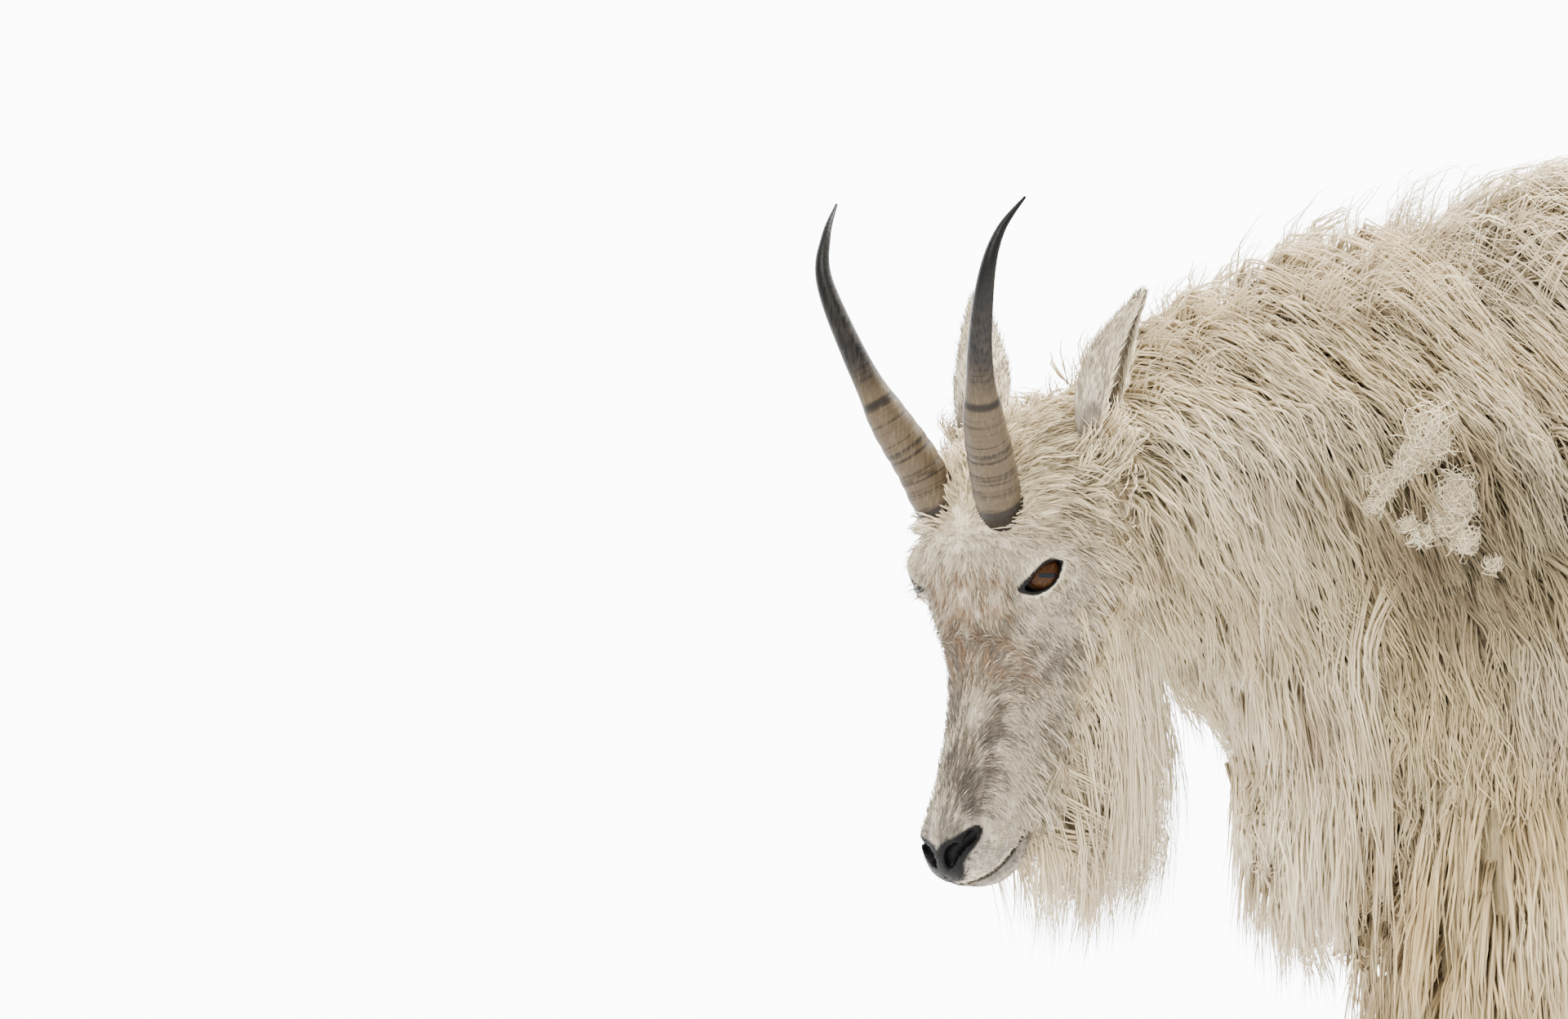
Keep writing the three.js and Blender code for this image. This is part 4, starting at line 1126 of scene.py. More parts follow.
def as_clumps(centre, outer, each, draw, spread=9.0, gather=0.72, wave=3.5, curls=1.6, frizz=0.035):
    """Fills each lock, given by its middle line, with thin tufts that gather to its tip."""
    n, rings, _ = centre.shape
    own = np.repeat(np.arange(n), each)
    many = len(own)
    path, up = centre[own], outer[own]
    ahead = unit(np.gradient(path, axis=1))
    across = unit(np.cross(up, ahead))
    long = np.linalg.norm(np.diff(centre, axis=1), axis=2).sum(axis=1)[own, None]
    t = np.linspace(0, 1, rings)[None]
    radius = spread * np.sqrt(draw.uniform(0, 1, many))
    way = draw.uniform(0, 2 * math.pi, many)
    hold = (1 - gather * t ** 0.7)[..., None]
    aside = across * (radius * np.cos(way))[:, None, None]
    path = path + (aside + ahead[:, :1] * (radius * np.sin(way))[:, None, None]) * hold
    height = (spread * 0.5 * draw.uniform(0, 1, many))[:, None, None]
    path = path + up * height * (t * hold[..., 0])[..., None]
    swing = wave * np.repeat(draw.uniform(0.5, 1.4, n), each)
    turns = (curls * draw.uniform(0.75, 1.3, n))[own, None]
    phase = draw.uniform(0, 2 * math.pi, n)[own, None] + draw.normal(0, 0.45, many)[:, None]
    angle = 2 * math.pi * turns * t + phase
    grow = ease(t * 2.2)
    path = path + across * (swing[:, None] * np.sin(angle) * grow)[..., None]
    path = path + up * (0.5 * swing[:, None] * np.cos(angle * 1.07) * grow)[..., None]
    stray = draw.normal(0, frizz, (many, 3))[:, None] * (t ** 1.5 * long)[..., None]
    where = t * draw.uniform(0.72, 1.0, many)[:, None] * (rings - 1)
    i = np.minimum(where.astype(int), rings - 2)
    f = (where - i)[..., None]
    tuft = np.arange(many)[:, None]
    path = path[tuft, i] * (1 - f) + path[tuft, i + 1] * f
    return path + stray, up, own


def outside_head(points):
    """Which points aren't inside the head."""
    tree = Goat.head_tree
    clear = []
    for p in to_world(points):
        at, normal, _, _ = tree.find_nearest(Vector(p))
        clear.append((Vector(p) - at).dot(normal) > -0.004)
    return np.array(clear)


def settled(points):
    """Roots moved to the skin, the skin's outward direction there, and whether it was near."""
    hits = [Goat.skin_tree.find_nearest(Vector(p)) for p in to_world(points)]
    at = np.array([hit[0] for hit in hits]) / MM - SHIFT
    normal = np.array([hit[1] for hit in hits])
    return at, normal, np.array([hit[3] for hit in hits]) < ROOT_REACH * MM


def combed(points, normals):
    """The lie of the long coat: back and to the side from the crest, then down; on the neck it
    runs back from the head before it falls, and the chest's tips point forwards."""
    x, z = points[:, 0], points[:, 2]
    side = np.tanh((points[:, 1] + 5 * np.sin(x * 1.7)) / 16)
    top = rise(normals[:, 2], 0.05, 0.75)
    front = fall(x, -610, 190)
    chest = fall(z, 480, 170) * fall(x, -420, 160)
    back = 0.16 + 0.95 * front * rise(z, 640, 90) + 0.75 * top - 0.4 * chest
    back = (back + 0.3 * rise(x, 250, 200)) * (1 - 0.9 * ease(normals[:, 0] / 0.7))
    return unit(np.stack([back, side * 0.75 * top, -1 + 0.75 * top], 1))


def upright(points, normals):
    """Hair that stands on the crest, leans back and crosses the middle of the back."""
    one = np.ones(len(points))
    return unit(np.stack([0.5 * one, 0.35 * np.sin(points[:, 0] * 1.7), 0.7 * one], 1))


def straight_down(points, normals):
    return unit(np.tile([0.12, 0, -1.0], (len(points), 1)))


ROOT_REACH = 9.0  # how far a root may lie from the skin
STEP = 0.004      # how far apart a form is read to find its own directions
COAT_TOP = 980    # height over which the coat is pressed down
HANGING = np.array([0.36, 0, -0.93])  # the fall of free locks under the neck


def directions(form, s, turn, layer):
    """How a form's point moves with s, with turn and with the layer, and its place."""
    here = form.points(s, turn, layer)
    by_s = (form.points(s + STEP, turn, layer) - here) / STEP
    by_turn = (form.points(s, turn + STEP, layer) - here) / STEP
    by_layer = (form.points(s, turn, layer + 0.05) - here) / 0.05
    return here, by_s, by_turn, by_layer


def grown_locks(form, count, comb, long, rings, lift, span, turns, draw, cap):
    """Middle lines of locks that leave a form's skin and follow the comb inside its coat."""
    tries = count * 4
    s = draw.uniform(*span, tries)
    u = draw.uniform(*turns, tries)
    start, by_s, by_u, _ = directions(form, s, u, SKIN_LAYER)
    weight = np.linalg.norm(np.cross(by_s, by_u), axis=1)
    pick = draw.choice(tries, count, replace=False, p=weight / weight.sum())
    s, u, start = s[pick], u[pick], start[pick]
    root, normal, on = settled(start)
    on &= outside_head(root)
    s, u, root, normal = s[on], u[on], root[on], normal[on]
    n = len(s)
    size = np.interp(s, np.linspace(0, 1, len(long)), long) * draw.uniform(0.75, 1.25, n)
    size *= 1 + 0.45 * rise(-normal[:, 2], 0.1, 0.6)
    top = rise(normal[:, 2], 0.15, 0.65) * (comb is combed) * rise(root[:, 0], -620, 120)
    lift = lift * (1 + 4.5 * top)[:, None]
    size = size * (1 + 0.25 * top)
    link = (size / (rings - 1))[:, None]
    cap = cap * (0.5 + 0.56 * draw.uniform(0, 1, n) ** 0.55)
    comb_way = comb(root, normal)
    path, outer = [root - normal * 1.5], [normal]
    s1, u1, layer = s.copy(), u.copy(), np.full(n, SKIN_LAYER)
    free = np.zeros(n, bool)
    for k in range(1, rings):
        t = k / (rings - 1)
        here, *by = directions(form, s1, u1, layer)
        out = unit(form.points(s1, u1, layer + 0.3) - here)
        way = comb_way * (1 - 0.55 * t) + np.array([0, 0, -0.75]) * t + out * lift * (1 - t) ** 1.6
        way = unit(way) * link
        moved = np.linalg.solve(np.stack(by, axis=2) + 1e-6 * np.eye(3), way[..., None])[..., 0]
        s1 = s1 + np.clip(moved[:, 0], -0.12, 0.12)
        u1 = u1 + np.clip(moved[:, 1], -0.06, 0.06)
        low = SKIN_LAYER + (0.4 + 0.3 * top) * t ** 0.8
        layer = np.clip(layer + np.clip(moved[:, 2], -0.05, 0.5), np.minimum(low, cap), cap)
        free |= (out[:, 2] < -0.1) & (form is NECK)
        place = form.points(s1, u1, layer)
        side = unit(form.points(s1, u1, layer + 0.3) - place)
        path.append(np.where(free[:, None], path[-1] + HANGING * link, place))
        outer.append(np.where(free[:, None], outer[-1], side))
    return np.stack(path, 1), np.stack(outer, 1), form.unwrap(s, u)


def long_coat(name, form, locks, each, long, looks, draw, rings=5, lift=0.9, span=(0.0, 1.0),
              turns=(0.0, 1.0), width=3.0, comb=combed, roots=0.42, cap=1.0, **clump):
    """A stretch of the coat that grows on one form: each lock of it is a clump of tufts."""
    centre, outer, uv = grown_locks(form, locks, comb, long, rings, lift, span, turns, draw, cap)
    path, up, own = as_clumps(centre, outer, each, draw, **clump)
    path[:, :, 2] -= 0.75 * np.maximum(path[:, :, 2] - COAT_TOP, 0)

    def tinted(path):
        return to_each(lambda points: body_tint(points, looks), path)

    return hair(name, path, up, width, tinted, roots, uv[own], draw, own, len(centre))


def spread_roots(skin, count, draw, weigh):
    """Points spread over a skin where weigh is high, and the outward directions there."""
    points, tris = skin
    corners = points[tris]
    area = np.cross(corners[:, 1] - corners[:, 0], corners[:, 2] - corners[:, 0])
    size = np.linalg.norm(area, axis=1)
    normal = area / np.maximum(size, 1e-9)[:, None]
    middle = corners.mean(axis=1)
    weight = size * weigh(middle, normal)
    pick = draw.choice(len(tris), count, p=weight / weight.sum())
    a, b = draw.uniform(0, 1, (2, count))
    flip = a + b > 1
    a, b = np.where(flip, 1 - a, a), np.where(flip, 1 - b, b)
    c = corners[pick]
    at = c[:, 0] + (c[:, 1] - c[:, 0]) * a[:, None] + (c[:, 2] - c[:, 0]) * b[:, None]
    return at, normal[pick]


HEAD_MIDDLE = ([-126, -50, 0, 60, 120, 204], [-58, -44, -48, -44, -37, -25])


def head_place(head):
    """How far along the head, 0 at the nose, and how far round it from the top, both 0 to 1."""
    ahead = -head[:, 0]
    front, back = HEAD_ROWS[0][0], HEAD_ROWS[-1][0]
    s = np.clip((front - ahead) / (front - back), 0, 1)
    middle = np.interp(ahead, *HEAD_MIDDLE)
    turn = np.arctan2(-head[:, 1], head[:, 2] - middle) / (2 * math.pi)
    return s, turn % 1


def round_head(head):
    """How far round the head from its top, to either side, 0 to 0.5."""
    _, turn = head_place(head)
    return np.minimum(turn, 1 - turn)


def head_unwrap(head):
    s, turn = head_place(head)
    return np.stack([0.25 * s, 0.5 * turn], 1)


def face_flow(head, normal):
    """The lie of the face's fur: up the bridge of the nose, over its sides and down the cheeks."""
    ahead = -head[:, 0]
    side = np.where(head[:, 1] + 4 * np.sin(head[:, 0] * 2.3) > 0, 1.0, -1.0)
    arc = rise(round_head(head), 0.02, 0.17)
    bridge = np.radians(8 + 122 * arc)
    brow = np.radians(165 - 45 * arc)
    crown = np.radians(35 + 60 * arc)
    muzzle = np.radians(25 + 60 * arc)
    up_to_brow = rise(ahead, 25, 35)
    angle = brow * (1 - up_to_brow) + bridge * up_to_brow
    angle = angle + (crown - angle) * rise(-ahead, 5, 40)
    angle = angle + (muzzle - angle) * rise(ahead, 158, 16)
    back = unit(np.array([1.0, 0, 0]) - normal * normal[:, :1])
    out = np.cross(normal, back) * side[:, None]
    out = out * np.where(out[:, 1] * side - out[:, 2] * 0.5 >= 0, 1.0, -1.0)[:, None]
    way = unit(back * np.cos(angle)[:, None] + out * np.sin(angle)[:, None])
    axis = mirrored(np.tile(ear_axes()[0], (len(head), 1)), side)
    close = ease(by_ear(head) * 1.6)[:, None]
    return unit(way * (1 - close) + axis * (1.3 * close))


def strayed_flow(head, normal, stray, draw):
    """The face's flow, a little different for each tuft, along the skin."""
    way = face_flow(head, normal) + draw.normal(0, stray, (len(head), 3))
    return unit(way - normal * (way * normal).sum(1)[:, None])


def by_ear(head):
    """1 at the root of an ear and 0 past the hair that hides it."""
    return near(face_place(head), EAR_ROOT * [-1, -1, 1], [34, 40, 34])


FUR_LENGTHS = ([-110, -60, -20, 20, 60, 120, 160, 175, 200], [30, 26, 17, 10, 9, 8, 7, 4.5, 3])


def face_length(head):
    """How long the face's fur is at each place, in millimetres."""
    ahead = -head[:, 0]
    base = np.interp(ahead, *FUR_LENGTHS)
    jaw = rise(round_head(head), 0.2, 0.14) * fall(ahead, 135, 30)
    base = base * (1 + 2.6 * jaw * (1 - 0.85 * rise(-ahead, 12, 40))) + 8 * by_ear(head)
    for side in SIDES.values():
        local = into_eye(head, side)
        away = np.linalg.norm(local, axis=1)
        brow = ease(local[:, 1] / 6 - 0.5)
        base = base * (0.62 + 0.38 * brow + (0.38 - 0.38 * brow) * rise(away, 18, 20))
    return base


def rim_width(local):
    """How wide the bare rim is round the lids."""
    return 1.9 + 1.5 * rise(local[:, 0], 6, 10) + 1.1 * ease(-local[:, 1] / 8)


def clear_of_eyes(path):
    """Which tufts, in the head's frame, leave the eyes' slits and their bare rims clear."""
    clear = np.ones(len(path), bool)
    for side in SIDES.values():
        for k in range(path.shape[1]):
            local = into_eye(path[:, k], side)
            close = np.linalg.norm(local, axis=1) < 40
            if close.any():
                slit = slit_distance(local[close]) < rim_width(local[close]) * 0.8
                bad = slit & (local[close, 2] > -2)
                clear[np.flatnonzero(close)[bad]] = False
    return clear


def off_bare(head):
    """False on the bare nostrils and the lips' edge."""
    place = face_place(head)
    lips = line_distance(place[:, [0, 2]], MOUTH)[0] < 2.6
    return (line_distance(place, NOSTRIL)[0] > 8.5) & ~(lips & (place[:, 0] > 146))


# Interface
def colour(name, description, value):
    return bpy.props.FloatVectorProperty(
        name=name, description=description, subtype="COLOR", size=3, min=0, max=1, default=value)


def length(name, description, value):
    return bpy.props.FloatProperty(
        name=name, description=description, unit="LENGTH", min=0.0005, max=0.1, default=value)


class GoatLooks(bpy.types.PropertyGroup):
    """Sizes and colours of the goat's looks."""

    coat: colour("Coat", "Cream of the long coat", (0.66, 0.53, 0.30))
    # Also painted light: the sunlit top of the coat and the glow of backlit hair at the front, the
    # chest's tips and the beard.
    coat_white: colour("Pale coat", "Shed wool and the brightest locks", (0.91, 0.805, 0.585))
    coat_warm: colour("Warm coat", "Yellowish coat of chest and legs", (0.55, 0.39, 0.185))
    # Also the brownish painted shade round the shed wool.
    coat_stain: colour("Stain", "Brownish stains of the coat", (0.25, 0.155, 0.085))
    face: colour("Face", "Short fur of the face", (0.60, 0.525, 0.40))
    face_grey: colour("Face streaks", "Grey streaks of the face", (0.075, 0.064, 0.056))
    muzzle: colour("Muzzle", "Grey of the muzzle and lips", (0.22, 0.20, 0.185))
    nose: colour("Bare skin", "Nostrils and rims of the lids", (0.0022, 0.002, 0.002))
    horn: colour("Horn", "Black of the horns", (0.004, 0.0035, 0.003))
    horn_base: colour("Horn base", "Tan of the horns near the skull", (0.056, 0.040, 0.023))
    hoof: colour("Hoof", "Dark of the hooves", (0.007, 0.0055, 0.0045))
    iris: colour("Iris", "Brown of the eye", (0.034, 0.0145, 0.0052))
    floor: colour("Floor", "Pale floor", (0.85, 0.85, 0.85))
    face_voxel: length("Face detail", "Grid size of the face's skin", 0.00178)
    body_voxel: length("Body detail", "Grid size of the body's skin", 0.009)


class GoatPiece(bpy.types.Operator):
    """Builds one kind of piece of the goat."""

    bl_options = {"REGISTER"}

    def execute(self, context):
        self.build(context.scene.goat_looks)
        return {"FINISHED"}


def tree_of(points, faces):
    """A search tree of a mesh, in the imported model's frame."""
    return BVHTree.FromPolygons([tuple(p) for p in to_world(points)],
                                [tuple(f) for block in faces for f in block.tolist()])


class GOAT_OT_skin(GoatPiece):
    """Builds the one skin that stands for all flesh"""

    bl_idname = "goat.skin"
    bl_label = "Skin"

    def build(self, looks):
        head = taken(head_skin(looks))
        body = taken(body_skin(looks))
        ears = [outward(*ear_shell(side)) for side in SIDES.values()]
        ears = [(from_head(points), faces) for points, faces in ears]
        parts = [head, body, *ears]
        points, faces = together(parts)
        made = object_of("goat_skin", points, faces)
        mesh = made.data
        tint, bare = head_tint(points, looks)
        # Painted shade under the fur: the furred skin is darker than the hair over it, the bare skin
        # keeps its tint.
        tint = tint * (0.78 + 0.22 * bare)[:, None]
        edges = np.cumsum([0] + [len(p) for p, _ in parts])
        torso = slice(edges[1], edges[2])
        # Painted shade deep under the long coat: the body's skin at half the coat's tint, except on the
        # lower legs.
        tint[torso] = body_tint(points[torso], looks) * 0.5
        feet = fall(points[torso, 2], 250, 60)
        tint[torso] = mixed(tint[torso], looks.coat, 0.9 * feet)
        bare[edges[1]:] = 0
        ear = slice(edges[2], edges[4])
        tint[ear] = ear_tint(points[ear], looks)
        paint(mesh, "Tint", tint)
        write(mesh, "Bare", bare, "FLOAT", "value")
        lie = points[:, [2, 0, 1]] * MM
        inside = slice(0, edges[1])
        lie[inside] = into_head(points[inside]) * MM
        write(mesh, "Lie", lie)
        Goat.skin_tree = tree_of(points, faces)
        Goat.head_tree = tree_of(*head)
        Goat.head = into_head(head[0]), head[1][0]
        Goat.body = body[0], body[1][0]
        dress(made, "coat", skin_finish("Skin"), *FLESH)


def ear_tint(points, looks):
    """Grey-beige, with a dark hollow, a dark patch at the base and a pale rim."""
    head = into_head(points)
    tint = np.tile(np.array(looks.face), (len(points), 1))
    axis, opening, cross = ear_axes()
    for side in SIDES.values():
        local = mirrored(head, side) - EAR_ROOT
        here = head[:, 1] * side > 0
        s = np.clip(local @ axis / EAR_LENGTH, 0, 1)
        q = mirrored(head, side) - ear_middle(s)
        size = along(EAR_SHAPE, s)
        r = np.hypot(q @ opening / (EAR_DEPTH / 2 * size), q @ cross / (EAR_WIDTH / 2 * size))
        patch = ripple(head * [0.5, 1, 1], 9, 61) ** 0.4
        base = near(head * [1, side, 1], EAR_ROOT * [1, -1, 1] + [30, 8, 2], [46, 32, 32])
        tint = mixed(tint, looks.face_grey, 0.9 * here * ease(base * 1.6) * patch)
        tint = mixed(tint, looks.face_grey, 0.5 * here * ripple(head * [0.4, 1, 1], 7, 62) ** 2)
        hollow = fall(r, 0.72, 0.2) * here * (s > 0.08)
        tint = mixed(tint, looks.face_grey, 0.8 * hollow)
        tint = mixed(tint, looks.coat_white, 0.4 * here * ease(s * 2 - 0.6) * (1 - hollow))
    return tint


# The chest's front (heights, and places along the body), its locks' tips (places along, and
# heights) and the clumps of shed wool (along, up, radius)
CHEST_FRONT = ([406, 432, 459, 497, 562, 593, 613, 660, 720],
               [-376, -418, -446, -442, -450, -482, -510, -560, -590])
CHEST_TIPS = ([-600, -560, -517, -498, -480, -465, -452, -440, -415, -375],
              [650, 638, 612, 592, 572, 548, 478, 420, 394, 374])
WOOL = [(-387, 794, 19), (-396, 783, 14), (-405, 773, 12), (-420, 762, 12), (-427, 746, 8),
        (-368, 753, 17), (-374, 738, 15), (-361, 722, 11), (-341, 707, 7), (-403, 735, 8),
        (-394, 726, 9)]


class GOAT_OT_body_coat(GoatPiece):
    """Grows the long coat of the trunk, the neck, the legs and the tail"""

    bl_idname = "goat.body_coat"
    bl_label = "Body coat"

    def build(self, looks):
        draw = np.random.default_rng(7)
        coat = coat_finish("Long coat", 0.62)
        for name, (form, locks, each, long, options) in self.plans().items():
            made = long_coat(name, form, locks, each, long, looks, draw, **options)
            dress(made, "coat", coat)
        for piece in (self.chest, self.wool, self.shanks):
            dress(piece(looks, draw), "coat", coat)

    def plans(self):
        """For each stretch of coat: its form, locks, tufts in a lock, lengths along it, and the rest."""
        neck, trunk = [62, 76, 92, 104, 110], [100, 116, 112, 108, 104, 96]
        fine = dict(width=1.4, spread=13, gather=0.4, frizz=0.07)
        shoulder = dict(span=(0, 0.3))
        barrel = dict(span=(0.27, 1), width=5.6, spread=17, gather=0.45)
        crest = dict(frizz=0.1, gather=0.15, comb=upright, lift=3.0, roots=0.7, cap=1.5)
        leg = dict(span=(0.02, 0.95), width=3.2, spread=11, gather=0.55, roots=0.6,
                   comb=straight_down, lift=0.8)
        plans = {
            "coat_neck_left": (NECK, 500, 8, neck, dict(
                rings=8, turns=(0, 0.37), width=2.3, wave=5.5, curls=1.5)),
            "coat_neck_left_fine": (NECK, 560, 6, neck, dict(turns=(0, 0.38), **fine)),
            "coat_neck_right": (NECK, 300, 8, neck, dict(turns=(0.58, 1), width=3.8, spread=12)),
            "coat_shoulder_left": (TRUNK, 560, 8, trunk, dict(
                rings=8, turns=(0, 0.5), width=2.4, wave=7.0, roots=0.3, **shoulder)),
            "coat_shoulder_left_fine": (TRUNK, 560, 6, trunk, dict(turns=(0, 0.5), **fine, **shoulder)),
            "coat_shoulder_right": (TRUNK, 300, 8, trunk, dict(
                turns=(0.5, 1), width=4.2, spread=13, **shoulder)),
            "coat_barrel_left": (TRUNK, 960, 4, trunk, dict(turns=(0, 0.5), **barrel)),
            "coat_barrel_right": (TRUNK, 900, 4, trunk, dict(turns=(0.5, 1), **barrel)),
            "coat_crest_neck": (NECK, 170, 12, [24, 44, 84, 140], dict(
                span=(0.24, 1), turns=(-0.1, 0.11), width=1.25, spread=15, **crest)),
            "coat_crest_back": (TRUNK, 250, 12, [150, 146, 104, 78, 60, 50], dict(
                span=(0.0, 0.75), turns=(-0.09, 0.1), width=1.6, spread=18, **crest)),
            "coat_tail": (TAIL, 60, 9, [60, 60, 70], dict(
                span=(0.05, 0.7), width=2.6, spread=6, comb=straight_down)),
        }
        for name in LEGS:
            locks = 400 if name == "fore_left" else 230
            plans["coat_leg_" + name] = leg_form(name, True), locks, 7, [130, 120, 96, 64, 30], leg
        return plans

    def chest(self, looks, draw):
        """Long hair that hangs from the throat and the front of the chest."""
        rings = 7

        def weigh(p, m):
            here = ease((-380 - p[:, 0]) / 60) * ease((765 - p[:, 2]) / 90) * (p[:, 2] > 470)
            return here * ease((0.35 - m[:, 2]) / 0.5) * (0.3 + ease((0.1 - m[:, 0]) / 0.5))

        def tinted(path):
            points = path.reshape(-1, 3)
            stained = near(points, [-450, -112, 586], [30, 90, 50])
            # Painted glow: the locks grow paler towards their tips, as backlit hair does, except on the
            # stain and behind the front.
            pale = 0.95 * np.tile(t[0], len(path)) * (1 - stained)
            pale = pale * (1 - 0.7 * rise(points[:, 0], -445, 50))
            tint = mixed(body_tint(points, looks), looks.coat_white, pale)
            return mixed(tint, looks.coat_stain, 0.45 * stained).reshape(path.shape)

        root, normal = spread_roots(Goat.body, 520, draw, weigh)
        on = outside_head(root)
        root, normal = root[on], normal[on]
        n = len(root)
        t = np.linspace(0, 1, rings)[None]
        long = draw.uniform(110, 190, n)
        low = np.interp(root[:, 0], *CHEST_TIPS) + draw.uniform(-6, 34, n)
        end = np.maximum(root[:, 2] - long, np.minimum(low, root[:, 2] - 50))
        z = root[:, 2:] + (end - root[:, 2])[:, None] * t ** 1.15
        fullness = draw.uniform(0, 1, n)[:, None] ** 0.7 * ease(0.25 - normal[:, :1])
        front = np.interp(z, *CHEST_FRONT) + 0.35 * np.abs(root[:, 1:2])
        x = root[:, :1] + np.minimum(front - root[:, :1], -4) * fullness * ease(t / 0.7)
        wide = 1 + 0.18 * fullness * ease(t / 0.6)
        centre = np.stack([x, root[:, 1:2] * wide, z], axis=2)
        centre[:, 0] = root - normal * 1.5
        outer = on_rings(unit(normal * [1, 1, 0.2]), rings)
        path, up, own = as_clumps(centre, outer, 7, draw, spread=10.0, gather=0.66, wave=3.0,
                                  curls=1.5, frizz=0.03)
        angle = np.arctan2(root[:, 1], root[:, 2] - 640) / (2 * math.pi)
        across = 0.25 + 0.25 * np.clip((root[:, 0] + 655) / 375, 0, 1)
        uv = np.stack([across, 0.25 + 0.5 * angle % 0.5], 1)
        return hair("coat_chest", path, up, 2.5, tinted, 0.75, uv[own], draw, own, n)

    def shanks(self, looks, draw):
        """Short hair of the lower legs, longer where it falls over the hooves."""
        rings = 3

        def weigh(p, _):
            high = p[:, 2]
            return (high < 330) * (high > 48) * (1 + 1.2 * (high < 90))

        root, normal = spread_roots(Goat.body, 3800, draw, weigh)
        n = len(root)
        size = np.interp(root[:, 2], [50, 90, 130, 260, 330], [15, 17, 11, 15, 30])
        size = size * draw.uniform(0.7, 1.2, n)
        way = unit(np.array([0.1, 0, -1]) + normal * 0.12 + draw.normal(0, 0.1, (n, 3)))
        path = bowed(root, normal, way, size, rings, 0.14, 2.6, 0.5)
        turn = np.arctan2(normal[:, 1], normal[:, 0]) / (2 * math.pi) % 1
        corner = 0.24 * (root[:, 0] > 100) + 0.12 * (root[:, 1] > 0)
        uv = np.stack([0.5 + 0.11 * turn + corner, 0.02 + 0.2 * root[:, 2] / 330], 1)

        def tinted(_):
            return mixed(body_tint(root, looks), looks.coat_white, np.full(n, 0.35))

        return hair("coat_shanks", path, on_rings(normal, rings), 2.3, tinted, 0.7, uv, draw)

    def wool(self, looks, draw):
        """Shed wool caught in the coat of the near shoulder."""
        rings = 5
        counts = [int(1.3 * r ** 1.75) for _, _, r in WOOL]
        own = np.repeat(np.arange(len(WOOL)), counts)
        spot = np.array([[x, -142, z] for x, z, _ in WOOL], float)
        radius = np.array([r for _, _, r in WOOL], float)[own][:, None, None]
        n = len(own)
        t = np.linspace(0, 1, rings)[None, :, None]
        phase = draw.uniform(0, 2 * math.pi, (n, 1, 3))
        speed = draw.uniform(2.0, 6.5, (n, 1, 3))
        swing = draw.uniform(0.25, 0.8, (n, 1, 3)) * radius * [1.0, 0.45, 1.0]
        path = spot[own][:, None] + draw.normal(0, 0.28, (n, 1, 3)) * radius * [1, 0.4, 1]
        path = path + swing * np.sin(phase + speed * t)
        outer = np.tile(np.array([0, -1.0, 0.2]), (n, rings, 1))
        tint = np.tile(np.array(looks.coat_white), (n, 1))
        wide = taper(0.7, rings, n, draw)
        tint = root_shade(tint, own, len(WOOL), rings, 0.9, draw)
        uv = np.stack([0.3 + 0.1 * draw.uniform(0, 1, n), 0.1 + 0.05 * draw.uniform(0, 1, n)], 1)
        return tufts_mesh("coat_wool", path, outer, wide, tint, uv, draw)


# Heights from the eyes and, at each, how far ahead of them the beard's back edge is, below 0 behind
BEARD_BACK = ([-260, -232, -190, -152, -112, -66, -20, 30],
              [-140, -150, -166, -174, -176, -168, -146, -122])
BEARD_END = -262
BEARD_HALF_WIDTH = 52
BEARD_MIDDLE = 95  # how far behind the eyes
BEARD_LIMIT = 165  # and how far behind them it ends


